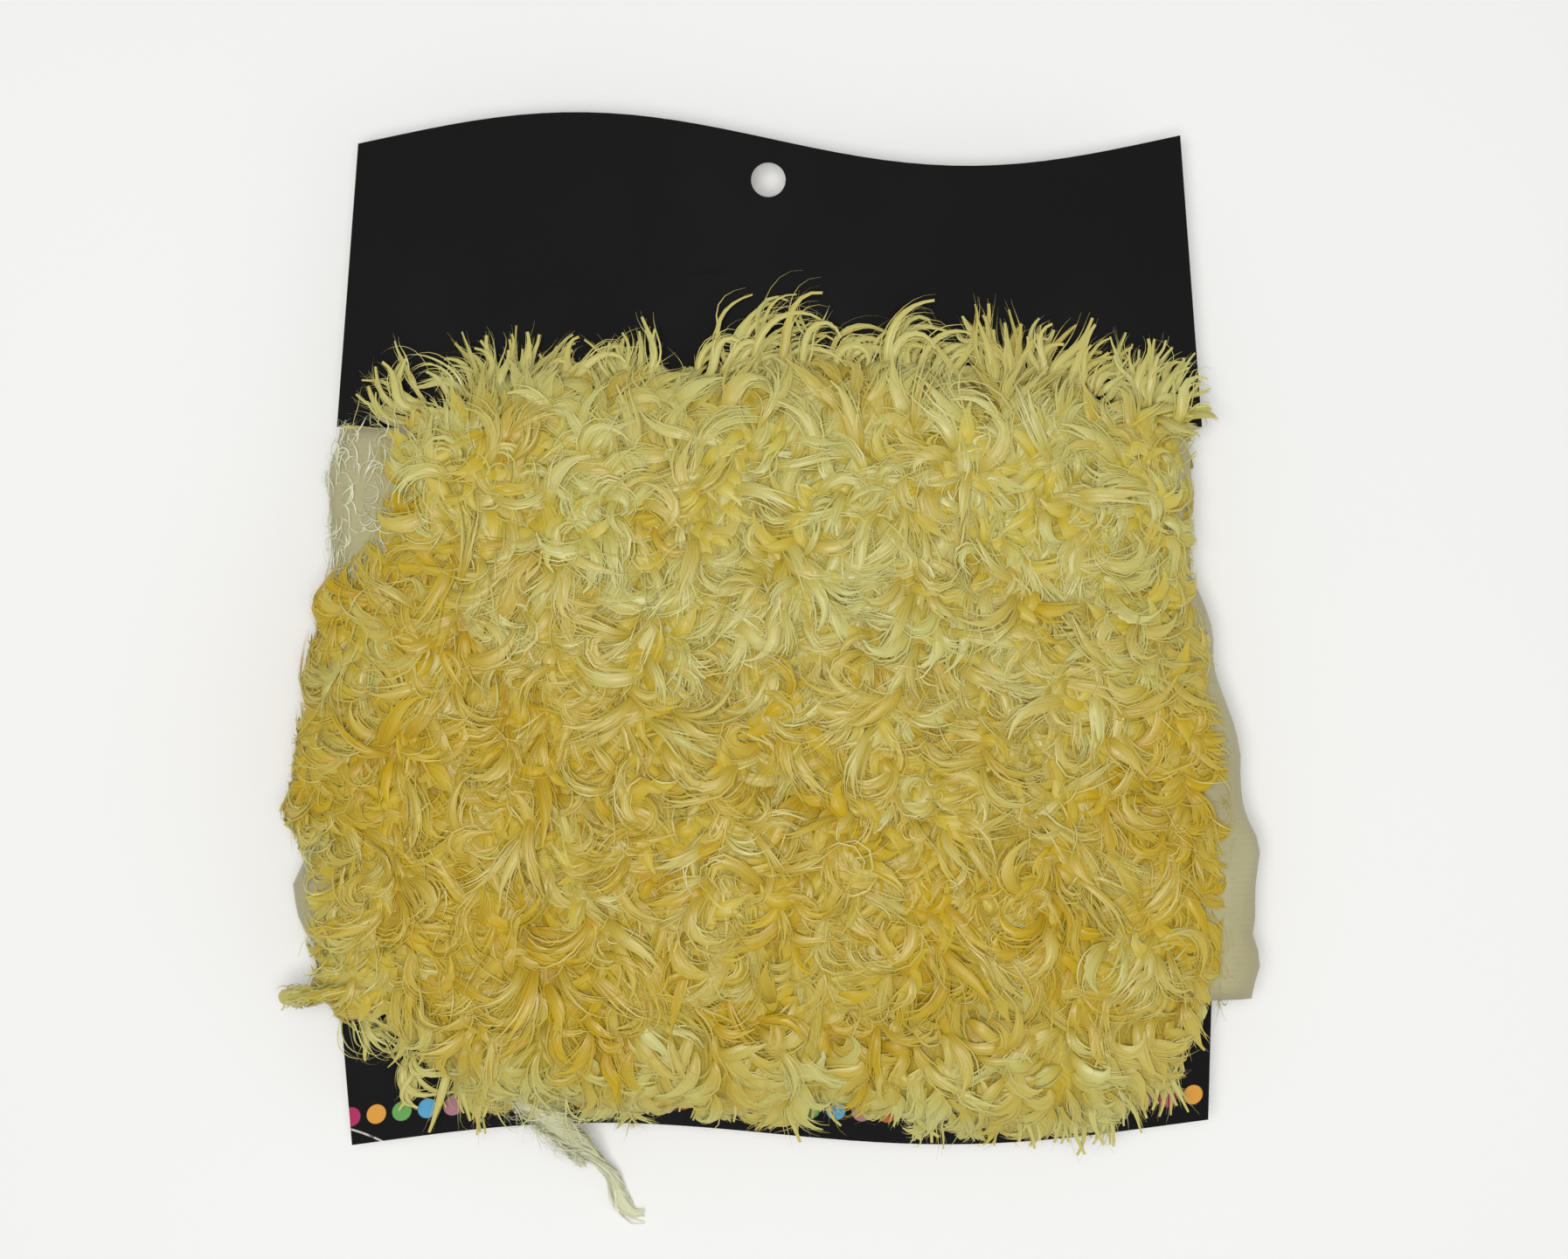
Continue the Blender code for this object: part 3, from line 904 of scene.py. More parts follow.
    def crease_depth(self, angle: Array, y: Array) -> Array:
        """Short soft troughs across the left turn, where the loose cloth buckles.

        Each is 0.45 to 0.9 mm deep and falls off as exp(-(away / width)^2).

        Args:
            angle, y: the places on the cloth.

        Returns:
            How far each place is pushed in.
        """
        left = np.clip(-np.cos(angle), 0.0, 1.0) ** 3
        total = np.zeros(np.broadcast(angle, y).shape)
        for k, crease in enumerate(self.creases):
            width = 1.1 + 0.3 * (k % 2)
            total += (0.9 - 0.15 * k) * np.exp(-(((y - crease) / width) ** 2))
        return left * total

    def normal(self, angle: Array, y: Array) -> Array:
        """The cloth's outward side, from small steps along the cloth and across it.

        Args:
            angle, y: the places on the cloth.

        Returns:
            (..., 3) normals.
        """
        along = self.place(angle + 0.004, y) - self.place(angle - 0.004, y)
        across = self.place(angle, y + 0.2) - self.place(angle, y - 0.2)
        return -unit(np.cross(along, across))

    def even_angles(self, count: int, start: float, end: float) -> Array:
        """Angles that are evenly spaced along the cloth.

        Args:
            count: how many.
            start, end: the first and the last.

        Returns:
            (count,) angles.
        """
        angle = np.linspace(start, end, self.samples)
        steps = np.linalg.norm(np.diff(self.place(angle, np.array(0.0)), axis=0), axis=-1)
        length = np.concatenate([[0.0], np.cumsum(steps)])
        return np.interp(np.linspace(0.0, length[-1], count), length, angle)

    def length(self, start: float, end: float) -> float:
        """The cloth's length between two angles, in millimetres."""
        points = self.place(np.linspace(start, end, self.samples), np.array(0.0))
        return float(np.linalg.norm(np.diff(points, axis=0), axis=-1).sum())

    @property
    def start_angle(self) -> float:
        """The angle at which the strip starts, next to the card."""
        return self.end_angle - TAU * self.turns

    @property
    def outer_start(self) -> float:
        """The angle at which the outermost turn starts."""
        return self.end_angle - TAU

    def build(self, finish: KnitFinish) -> bpy.types.Object:
        """Makes the cloth: two skins a thickness apart, closed round their edges.

        Args:
            finish: the knit's finish.

        Returns:
            The piece. Its map has the outer skin in its lower half and the inner one above.
        """
        angle = self.even_angles(self.columns, self.start_angle, self.end_angle)[:, None]
        y = np.linspace(self.bottom, self.top, self.rows)[None, :]
        outer = self.place(angle, y)
        inner = outer - self.normal(angle, y) * self.thickness
        ring = np.concatenate([outer, inner[:, ::-1]], axis=1)
        columns = ring.shape[1]
        along = np.linspace(0.0, 1.0, self.columns)[:, None] * np.ones((1, columns))
        across = np.linspace(0.01, 0.49, self.rows)
        across = np.concatenate([across, 0.51 + across[::-1]])[None, :]
        uv = np.stack([along, np.clip(across * np.ones_like(along), 0, 1)], axis=-1)
        quads = grid_quads(self.columns, columns, wrap=True)
        caps = []
        for row in (0, self.columns - 1):
            base = row * columns
            one = base + np.arange(self.rows - 1)
            two = base + columns - 1 - np.arange(self.rows - 1)
            cap = np.stack([one, two, two - 1, one + 1], axis=-1)
            caps.append(cap if row == 0 else cap[:, ::-1])
        quads = np.concatenate([quads, *caps])
        mesh = mesh_from_quads("backing", ring.reshape(-1, 3), quads, uv.reshape(-1, 2))
        return add_piece("backing", mesh, finish.material(), "fur")


# Fibres in locks.


@dataclass
class Locks:
    """A crop of locks, one entry of each array to a lock.

    root, normal and lay are (n, 3): where a lock starts, which way is out of the cloth, and the
    way along the cloth in which it first leans. The rest are (n,): its length, how far it curls
    round to the left of its lay in radians, the share of its length in which it bends over, how
    steeply it starts and ends, its half width and half depth, and its dye from 0, deep, to 1.
    """

    root: Array
    normal: Array
    lay: Array
    length: Array
    curl: Array
    lift: Array
    rise: Array
    fall: Array
    half_width: Array
    half_depth: Array
    dye: Array

    def pick(self, chosen: Array) -> Locks:
        """Only the chosen locks."""
        return Locks(*(getattr(self, f.name)[chosen] for f in fields(self)))

    @staticmethod
    def join(crops: Sequence[Locks]) -> Locks:
        """Several crops as one."""
        return Locks(*(
            np.concatenate([getattr(crop, f.name) for crop in crops]) for f in fields(Locks)
        ))


@dataclass(frozen=True)
class Habit:
    """How a lock is made up: a satiny body, and loose fibres that stray from it.

    sides is how many points cross the body, fibres how many ribbons lie on it, steps how many
    points run along each, and fibre_width a ribbon's width. splay, aim, ripple and length_jitter
    are how far the ribbons stray. close is how much the lock narrows by its tip, and taper how
    thin a fibre's tip is. A higher coil keeps more of the curl for the tip, and sway bends the
    whole lock to and fro. hue is the stretch of the root-to-tip colours that the lock shows, and
    dye_jitter how its fibres' dyes differ. slack is how far it may lie past the parting.
    """

    sides: int = 4
    fibres: int = 10
    steps: int = 8
    fibre_width: float = 0.3
    splay: float = 0.2
    aim: float = 0.11
    length_jitter: float = 0.15
    close: float = 0.88
    coil: float = 1.2
    taper: float = 0.92
    sway: float = 0.3
    ripple: float = 0.09
    dye_jitter: float = 0.06
    hue: tuple[float, float] = (0.14, 0.99)
    slack: float = 3.0


@dataclass
class Surface:
    """A mesh as arrays: points (n, 3), quads (m, 4) and the place of each point on the map."""

    points: Array
    quads: Array
    uv: Array

    @staticmethod
    def strips(points: Array, along: Array, dye: Array) -> Surface:
        """Many strips of one make.

        Args:
            points: (n, steps, k, 3), k points across each strip.
            along: (steps,) place along the fibre.
            dye: (n, k) dye of each point across.

        Returns:
            The surface. Seen from the side that its faces look to, with the strip running up, the
            points across it run from left to right.
        """
        n, steps, k, _ = points.shape
        spread = np.broadcast_to(along[None, :, None], (n, steps, k))
        dyes = np.broadcast_to(np.clip(dye, 0.01, 0.99)[:, None, :], (n, steps, k))
        first = grid_quads(steps, k)
        quads = (np.arange(n) * steps * k)[:, None, None] + first[None]
        uv = np.stack([spread, dyes], axis=-1).reshape(-1, 2)
        return Surface(points.reshape(-1, 3), quads.reshape(-1, 4), uv)

    @staticmethod
    def join(parts: Sequence[Surface]) -> Surface:
        """Several surfaces as one."""
        starts = np.cumsum([0] + [len(part.points) for part in parts[:-1]])
        return Surface(
            np.concatenate([part.points for part in parts]),
            np.concatenate([part.quads + start for part, start in zip(parts, starts)]),
            np.concatenate([part.uv for part in parts]),
        )

    def build(
        self, name: str, finish: bpy.types.Material, slot: str = "fur"
    ) -> bpy.types.Object:
        """Makes the mesh and its piece."""
        mesh = mesh_from_quads(name, self.points, self.quads, self.uv)
        return add_piece(name, mesh, finish, slot)


@dataclass
class Grower:
    """Grows locks, and lets them settle on what lies round them.

    card_front and card_back are the levels that fibres keep to over the card, within card_side
    of its middle and above card_foot. They may lie out to past_edge beyond the cut edges, and
    side_slack past the turns, and lose the share side_press of any excess. pressed is the height
    below which the pile is flattened.
    """

    cloth: WoundCloth
    rng: np.random.Generator
    card_front: float = 14.55
    card_back: float = 13.45
    card_side: float = 79.0
    card_foot: float = -77.5
    past_edge: float = 77.5
    side_slack: float = 0.9
    side_press: float = 0.7
    pressed: float = 2.6

    def course(
        self, locks: Locks, t: Array, turn: Array, length: Array, lift: Array
    ) -> tuple[Array, Array, Array]:
        """Where fibres run.

        A fibre's way is turned from the lay by turn, and stands up from the cloth by an angle
        that falls from rise to fall as exp(-t / lift), t being the share of its length. Its
        place is the sum of its way.

        Args:
            locks: the crop, n locks.
            t: (steps,) shares of the length.
            turn: (n, j, steps) how far each of j fibres has turned.
            length, lift: (n, j).

        Returns:
            Places, ways across and ways up, each (n, j, steps, 3).
        """
        rise, fall = locks.rise[:, None, None], locks.fall[:, None, None]
        stand = fall + (rise - fall) * np.exp(-t / lift[..., None])
        normal, lay = locks.normal[:, None, None, :], locks.lay[:, None, None, :]
        side = np.cross(normal, lay)
        level, upright = np.cos(stand)[..., None], np.sin(stand)[..., None]
        way = level * (np.cos(turn)[..., None] * lay + np.sin(turn)[..., None] * side)
        way = way + upright * normal
        gaps = (way[:, :, 1:] + way[:, :, :-1]) / 2 * (t[1:] - t[:-1])[:, None]
        centre = np.concatenate([np.zeros_like(way[:, :, :1]), np.cumsum(gaps, axis=2)], axis=2)
        centre = locks.root[:, None, None, :] + centre * length[..., None, None]
        up = unit(normal - (normal * way).sum(-1, keepdims=True) * way)
        return centre, np.cross(way, up), up

    def grow(self, locks: Locks, habit: Habit) -> Surface:
        """Grows each lock's body and its fibres.

        The lock turns from its lay by curl t^coil and sways a little. Its body is the upper half
        of an oval that opens above the root and narrows to the tip. Fibres run with it, each as
        wide as a stretched leaf.

        Args:
            locks: the crop.
            habit: how the locks are made up.

        Returns:
            The surface, settled.
        """
        n, t = len(locks.length), np.linspace(0.0, 1.0, habit.steps)
        rand = self.rng.standard_normal
        sway = habit.sway * rand((n, 1, 1)) * np.sin(TAU * (0.9 * t + self.rng.random((n, 1, 1))))
        turn = locks.curl[:, None, None] * t**habit.coil + sway
        opened = 0.3 + 0.7 * np.sin(np.minimum(t / 0.4, 1.0) * TAU / 4)
        opened = opened * (1 - habit.close * smooth_step(0.42, 1.0, t))
        wide, deep = locks.half_width[:, None, None], locks.half_depth[:, None, None]
        along = habit.hue[0] + (habit.hue[1] - habit.hue[0]) * t
        parts = []
        if habit.sides:
            centre, across, up = self.course(
                locks, t, turn, locks.length[:, None], locks.lift[:, None]
            )
            angle = np.radians(np.linspace(-84.0, 84.0, habit.sides))
            ring = centre[:, 0, :, None, :]
            size = opened[None, :, None]
            ring = ring + (wide * size * np.sin(angle))[..., None] * across[:, 0, :, None, :]
            ring = ring + (deep * size * np.cos(angle))[..., None] * up[:, 0, :, None, :]
            spread = 0.0045 * habit.sides * np.linspace(-1.0, 1.0, habit.sides)
            parts.append(Surface.strips(
                self.settle(ring, habit.slack), along, locks.dye[:, None] + spread
            ))
        if habit.fibres:
            j = habit.fibres
            jitter = np.clip(1 + habit.length_jitter * rand((n, j)), 0.55, 1.25)
            ripple = habit.ripple * rand((n, j, 1))
            ripple = ripple * np.sin(TAU * (1.4 * t + self.rng.random((n, j, 1))))
            fan = habit.aim * rand((n, j, 1)) + habit.splay * rand((n, j, 1)) * t**1.2
            centre, across, up = self.course(
                locks, t, turn + fan + ripple, locks.length[:, None] * jitter,
                locks.lift[:, None] * np.clip(1 + 0.12 * rand((n, j)), 0.6, 1.5),
            )
            angle = np.radians(np.linspace(-62.0, 62.0, j) if j > 1 else np.zeros(1))
            angle = angle[None, :, None] + 0.2 * rand((n, j, 1))
            spot = centre + (wide * opened * np.sin(angle))[..., None] * across
            spot = spot + (deep * opened * np.cos(angle) + 0.03)[..., None] * up
            edge = (wide * np.cos(angle))[..., None] * across
            edge = edge - (deep * np.sin(angle))[..., None] * up
            leaf = np.minimum(1.0, 0.4 + t / 0.15) * (1 - habit.taper * smooth_step(0.5, 1.0, t))
            half = habit.fibre_width / 2 * leaf * np.clip(1 + 0.3 * rand((n, j, 1)), 0.4, 1.8)
            edge = unit(edge) * half[..., None]
            pair = self.settle(np.stack([spot - edge, spot + edge], axis=3), habit.slack)
            # The fibres are a little paler than the body under them: painted sheen on the lock's
            # top.
            dye = (locks.dye[:, None] + 0.04 + habit.dye_jitter * rand((n, j))).reshape(-1, 1)
            pair = pair.reshape(n * j, habit.steps, 2, 3)
            parts.append(Surface.strips(pair, along, dye + np.array([-0.003, 0.003])))
        return Surface.join(parts)

    def settle(self, points: Array, slack: float) -> Array:
        """Keeps fibres off the floor, out of the card and inside the turned sides.

        Below the height p of pressed pile, h becomes p exp(h / p - 1). Past the turns' reach, or
        slack past the parting, three tenths of the excess stay. Over the card no fibre dips under
        its face.

        Args:
            points: (..., 3) places.
            slack: how far past the parting fibres may lie.

        Returns:
            The settled places.
        """
        x, y, z = points[..., 0], points[..., 1], points[..., 2]
        level = self.cloth.card_level
        beyond = (y > self.cloth.top) | (y < self.cloth.bottom)
        limit = np.minimum(
            self.cloth.reach(x > 0, y) + self.side_slack, self.cloth.parting(x, y) + slack
        )
        excess = np.maximum(np.abs(x) - np.where(beyond, self.past_edge, limit), 0.0)
        x = x - np.sign(x) * self.side_press * excess
        near = beyond & (np.abs(x) < self.card_side) & (y > self.card_foot)
        front = z > level
        z = np.where(near & front, np.maximum(z, self.card_front + 0.05 * np.abs(x % 3)), z)
        z = np.where(near & ~front, np.minimum(z, self.card_back), z)
        low = self.pressed * np.exp(np.minimum(z, self.pressed) / self.pressed - 1.0)
        z = np.where(z < self.pressed, low, z)
        return np.stack([x, y, z], axis=-1)


# The pile's layout.


@dataclass(frozen=True)
class TonePatch:
    """A soft patch where the pile is deeper golden, partly its own tone and partly painted shade in
    its hollows: its middle, its reach, and how deep it is, below 0 if it is paler.
    """

    x: float
    y: float
    wide: float
    high: float
    depth: float


@dataclass
class PileTone:
    """How pale the pile is at each place on the face: lemon on the whole, with golden patches that
    are partly the pile's own tone and partly painted shade in its hollows.
    """

    patches: tuple[TonePatch, ...] = (
        TonePatch(-64, 29, 11, 12, 0.42),
        TonePatch(-60, -19, 5, 8, 0.45),
        TonePatch(-76, -8, 7, 10, 0.22),
        TonePatch(-49, -41, 15, 10, 0.38),
        TonePatch(-43, 24, 5, 6, 0.25),
        TonePatch(-19, 35, 5, 5, 0.35),
        TonePatch(0, -1, 6, 6, 0.28),
        TonePatch(12, 61, 6, 5, 0.28),
        TonePatch(46, 57, 10, 7, 0.30),
        TonePatch(67, -13, 8, 13, 0.48),
        TonePatch(72, -33, 8, 7, 0.30),
        TonePatch(27, -31, 9, 7, 0.36),
        TonePatch(-8, -53, 10, 7, 0.32),
        TonePatch(24, -54, 8, 6, 0.28),
        TonePatch(48, -40, 7, 6, 0.20),
        TonePatch(-30, -8, 12, 9, 0.16),
        TonePatch(-36, -52, 10, 6, 0.25),
        TonePatch(-46, 2, 21, 32, 0.19),
        TonePatch(12, -17, 24, 11, 0.11),
        TonePatch(-70, 4, 10, 16, 0.10),
        TonePatch(-75, -43, 10, 17, -0.18),
        TonePatch(-83, -32, 7, 15, -0.22),
        TonePatch(-62, -54, 12, 6, -0.08),
        TonePatch(-22, -50, 8, 8, -0.12),
    )
    lightest: float = 0.80
    strength: float = 1.5

    def at(self, x: Array, y: Array) -> Array:
        """How pale the pile is at each place: pale, less each patch's soft hill, less some low
        down.

        Args:
            x, y: the places.

        Returns:
            Dyes from 0, deep, to 1, pale.
        """
        dye = self.lightest - 0.45 * smooth_step(30.0, -12.0, y)
        # Patches: the golden ones are partly the pile's own tone and partly painted shade in its
        # hollows; those below 0 are paler.
        for patch in self.patches:
            gap = ((x - patch.x) / patch.wide) ** 2 + ((y - patch.y) / patch.high) ** 2
            dye = dye - self.strength * patch.depth * np.exp(-gap)
        dye = dye + 0.22 * plane_waves(x, y, 13.0, 5.0) + 0.06 * plane_waves(x, y, 6.0, 2.2)
        dye = dye + 0.12 * plane_waves(x, y, 27.0, 0.7)
        dye = dye + 0.36 * smooth_step(-50.0, -66.0, y) + 0.08 * smooth_step(50.0, 62.0, y)
        return np.clip(dye, 0.04, 0.96)


@dataclass(frozen=True)
class Layer:
    """One layer of locks over the cloth, and the ranges its locks' sizes are drawn from.

    stray is how far, in radians, a lock's lay may stray from its neighbours', and back tells the
    layer on the winding's underside from the one on its face and its turns. lift and curl scale
    the locks' own, dye_shift makes them paler, and start gives the layer swirls of its own.
    """

    spacing: float
    length: tuple[float, float]
    half_width: tuple[float, float]
    half_depth: tuple[float, float]
    rise: tuple[float, float]
    fall: tuple[float, float]
    lift: float
    curl: float
    stray: float
    dye_shift: float
    back: bool = False
    start: float = 0.0


UNDERLAY = Layer(
    3.0, (7.0, 10.5), (0.8, 1.5), (0.2, 0.4), (36.0, 56.0), (-16.0, -2.0), 0.17, 1.8, 1.0, 0.0,
    start=3.3,
)
OVERLAY = Layer(
    3.0, (8.0, 17.0), (0.5, 1.45), (0.2, 0.4), (32.0, 56.0), (-20.0, 2.0), 0.19, 3.0, 0.55, 0.0
)
CROSSLAY = Layer(
    4.2, (7.0, 12.5), (0.5, 1.2), (0.2, 0.38), (34.0, 58.0), (-20.0, 2.0), 0.2, 2.8, 0.5, 0.03,
    start=5.9,
)
BACK_LAYER = Layer(
    4.2, (10.0, 15.0), (1.5, 2.3), (0.4, 0.6), (40.0, 60.0), (-14.0, 0.0), 0.16, 1.5, 0.6, 0.0, True
)


@dataclass
class PileCoat:
    """The pile over the outermost turn: curled locks in jittered grids, parted at the turns.

    pale_share is the share of locks that are much paler, as painted glints. skin is how
    many points the undercoat has along the cloth, across it, and round each edge, and skin_side how
    far out it rolls over.
    """

    cloth: WoundCloth
    dye: PileTone
    grower: Grower
    samples: int = 2000
    pale_share: float = 0.12
    skin: tuple[int, int, int] = (210, 52, 7)
    skin_side: float = 78.0

    def bed(self, spot: Array, normal: Array) -> Array:
        """How high the dense short fibres stand, from which the locks rise.

        They stand 2.6 mm with lumps on the face and 1 mm behind, up to 15 % less towards the cut
        edges and half as high where the cloth turns, and sink away towards the parting.

        Args:
            spot, normal: (..., 3) places on the cloth and its normals there.

        Returns:
            The height at each place.
        """
        x, y = spot[..., 0], spot[..., 1]
        lumps = 2.6 + 0.95 * plane_waves(x, y, 15.0, 0.4) + 0.3 * plane_waves(x, y, 6.5, 3.0)
        high = np.where(normal[..., 2] < -0.3, 1.0, np.clip(lumps, 1.0, 5.5))
        high = high * (1 - 0.15 * smooth_step(36.0, 51.0, np.abs(y)))
        high = high * (1 - 0.5 * (1 - np.abs(normal[..., 2])))
        return high * smooth_step(-0.5, 7.0, self.cloth.parting(x, y) - np.abs(x))

    def upward(self, x: Array, y: Array) -> Array:
        """1 near the header's rim, where the pile leans up, and 0 below a ragged parting."""
        return smooth_step(-13.0, 13.0, y - 37.0 - 5.0 * plane_waves(x, y, 20.0, 9.2))

    def unsettled(self, x: Array, y: Array) -> Array:
        """1 at the parting's middle, where the pile leans no one way, falling to 0 off it."""
        return 1.0 - np.abs(2.0 * self.upward(x, y) - 1.0)

    def lay_way(self, spot: Array, normal: Array, start: float = 0.0) -> Array:
        """Which way the locks lean: up at the header's rim, elsewhere down, with broad swirls.

        Args:
            spot, normal: (..., 3) places on the cloth and its normals there.
            start: moves the swirls on.

        Returns:
            (..., 3) ways along the cloth.
        """
        x, y = spot[..., 0], spot[..., 1]
        up = self.upward(x, y)
        swirl_x = 0.75 * plane_waves(x, y, 25.0, 4.1 + start)
        swirl_x = swirl_x + 0.35 * plane_waves(x, y, 11.0, 6.6 + start)
        swirl_y = 0.35 * plane_waves(x, y, 22.0, 1.3 + start)
        swirl_y = swirl_y + 0.3 * plane_waves(x, y, 12.0, 8.3 + start)
        way_y = up - 0.85 * (1 - up) + swirl_y * (1 - 0.5 * up)
        drift = 0.45 * smooth_step(-8.0, -35.0, y) * smooth_step(-20.0, 40.0, x)
        way_x = drift + swirl_x * (1 - 0.4 * up)
        at_side = smooth_step(62.0, 76.0, np.abs(x))
        outward = np.where(self.cloth.parting(x, y) > 90.0, 0.5, 0.1)
        way_x = way_x * (1 - 0.6 * at_side) + outward * at_side * np.sign(x)
        down = smooth_step(-38.0, -49.0, y)
        way_y = way_y * (1 - down) - down
        way_x = way_x * (1 - 0.45 * down)
        way = np.stack([way_x, way_y, np.zeros_like(x)], axis=-1)
        return unit(way - (way * normal).sum(-1, keepdims=True) * normal)

    def spreading(self, spot: Array, normal: Array, start: float) -> Array:
        """Where the lay spreads out from a point and would leave it bare.

        The lay's divergence is read from steps of 1 mm each way.

        Args:
            spot, normal: (n, 3) places on the cloth and its normals there.
            start: the layer's start of its swirls.

        Returns:
            1 where it spreads, falling to 0.
        """
        total = np.zeros(len(spot))
        for k, step in enumerate(np.eye(3)[:2]):
            ahead = self.lay_way(spot + step, normal, start)[:, k]
            total += (ahead - self.lay_way(spot - step, normal, start)[:, k]) / 2
        return smooth_step(0.06, 0.2, total)

    def crop(self, layer: Layer) -> Locks:
        """Lays out a layer's locks, one to each cell of a grid along the outermost turn.

        Every second row is half a cell on, and each lock strays within its cell. Locks are
        shorter where the cloth turns, by the parting and at the four corners, and a share of
        them is much paler than the rest, as painted glints.

        Args:
            layer: the layer.

        Returns:
            The locks.
        """
        rng, cloth = self.grower.rng, self.cloth
        length = cloth.length(cloth.outer_start, cloth.end_angle)
        along = cloth.even_angles(self.samples, cloth.outer_start, cloth.end_angle)
        columns = round(length / layer.spacing)
        rows = round((cloth.top - cloth.bottom) / layer.spacing)
        where = np.arange(columns)[:, None] + 0.5 * (np.arange(rows)[None, :] % 2)
        where = (where + rng.uniform(-0.45, 0.45, (columns, rows)) + 0.5) / (columns + 0.5)
        shares = np.linspace(0, 1, self.samples)
        angle = np.interp(np.clip(where, 0, 1), shares, along).ravel()
        y = cloth.bottom + (np.arange(rows)[None, :] + 0.5) * (cloth.top - cloth.bottom) / rows
        y = (y + rng.uniform(-1.2, 1.2, (columns, rows))).clip(cloth.bottom, cloth.top).ravel()
        spot, normal = cloth.place(angle, y), cloth.normal(angle, y)
        keep = (rng.random(len(y)) < cloth.covered(spot)) & ((normal[:, 2] < -0.35) == layer.back)
        spot, normal = spot[keep], normal[keep]
        x, y, count = spot[:, 0], spot[:, 1], int(keep.sum())

        def draw(ends: tuple[float, float]) -> Array:
            """A number for each lock between two ends."""
            return rng.uniform(*ends, count)

        curl = np.tanh(2.0 * plane_waves(x, y, 15.0, 7.7 + layer.start))
        curl = curl + 0.35 * rng.standard_normal(count)
        at_rim = np.maximum(smooth_step(43.0, 49.0, y), smooth_step(-43.0, -49.0, y))
        lumps = plane_waves(x, y, 15.0, 0.4)
        lift = layer.lift * (1 + 0.26 * lumps + 0.2 * rng.standard_normal(count))
        lift = np.clip(lift, 0.1, 0.46)
        turned = 1.0 - np.abs(normal[:, 2])
        near_bare = smooth_step(9.0, 1.0, cloth.parting(x, y) - np.abs(x))
        corner = smooth_step(56.0, 70.0, np.abs(x)) * smooth_step(38.0, 47.0, np.abs(y))
        loose = 1.6 * self.unsettled(x, y) + 4.0 * self.spreading(spot, normal, layer.start)
        stray = layer.stray * (1 + loose) * rng.standard_normal(count)
        lay = self.lay_way(spot, normal, layer.start)
        lay = np.cos(stray)[:, None] * lay + np.sin(stray)[:, None] * np.cross(normal, lay)
        shorter = 1 - 0.35 * turned, 1 - 0.3 * near_bare, 1 - 0.4 * corner
        return Locks(
            root=spot + (0.85 * self.bed(spot, normal) - 0.3)[:, None] * normal,
            normal=normal,
            lay=lay,
            length=draw(layer.length) * shorter[0] * shorter[1] * shorter[2],
            curl=layer.curl * curl * (1 - 0.4 * at_rim),
            lift=lift * (1 - 0.45 * turned),
            rise=np.radians(draw(layer.rise)),
            fall=np.radians(draw(layer.fall)),
            half_width=draw(layer.half_width),
            half_depth=draw(layer.half_depth),
            # A share of the locks is made much paler: painted glints.
            dye=self.dye.at(x, y) + layer.dye_shift + 0.05 * rng.standard_normal(count)
            + 0.25 * (rng.random(count) < self.pale_share),
        )

    def strays(self, count: int) -> Locks:
        """Single fine fibres that stand away from the pile, on the bare cloth too.

        Args:
            count: how many.

        Returns:
            The fibres as locks.
        """
        rng, cloth = self.grower.rng, self.cloth
        angle = rng.uniform(cloth.outer_start, cloth.end_angle, count)
        y = rng.uniform(cloth.bottom, cloth.top, count)
        return self.loose(cloth.place(angle, y), cloth.normal(angle, y))

    def bare_curls(self, count: int) -> Locks:
        """Sparse pale curls on the cloth that lies bare at the upper left.

        Args:
            count: how many are drawn; those that fall on the pile are left out.

        Returns:
            The curls as locks.
        """
        rng, cloth = self.grower.rng, self.cloth
        angle = rng.uniform(2.3 * TAU, 2.5 * TAU, count)
        y = rng.uniform(19.0, 49.5, count)
        spot, normal = cloth.place(angle, y), cloth.normal(angle, y)
        bare = cloth.covered(spot) < 0.5
        curls = self.loose(spot[bare], normal[bare])
        curls.dye[:] = 0.8
        curls.length[:] = rng.uniform(3.0, 7.5, len(curls.length))
        curls.rise[:] *= 0.6
        return curls

    def loose(self, spot: Array, normal: Array) -> Locks:
        """Loose curled fibres, one at each spot.

        Args:
            spot, normal: (n, 3) places on the cloth and its normals there.

        Returns:
            The fibres as locks.
        """
        rng, y, count = self.grower.rng, spot[:, 1], len(spot)
        turned = 1.0 - np.abs(normal[:, 2])
        return Locks(
            root=spot + self.bed(spot, normal)[:, None] * normal,
            normal=normal,
            lay=self.lay_way(spot, normal),
            length=rng.uniform(5.0, 12.0, count) * (1 - 0.5 * turned),
            curl=2.4 * rng.standard_normal(count),
            lift=rng.uniform(0.25, 0.5, count) * (1 - 0.6 * turned),
            rise=np.radians(rng.uniform(45.0, 75.0, count)),
            fall=np.radians(rng.uniform(-15.0, 5.0, count)),
            half_width=rng.uniform(0.5, 1.2, count),
            half_depth=np.full(count, 0.3),
            dye=np.clip(self.dye.at(spot[:, 0], y) + 0.25, 0.1, 0.97),
        )

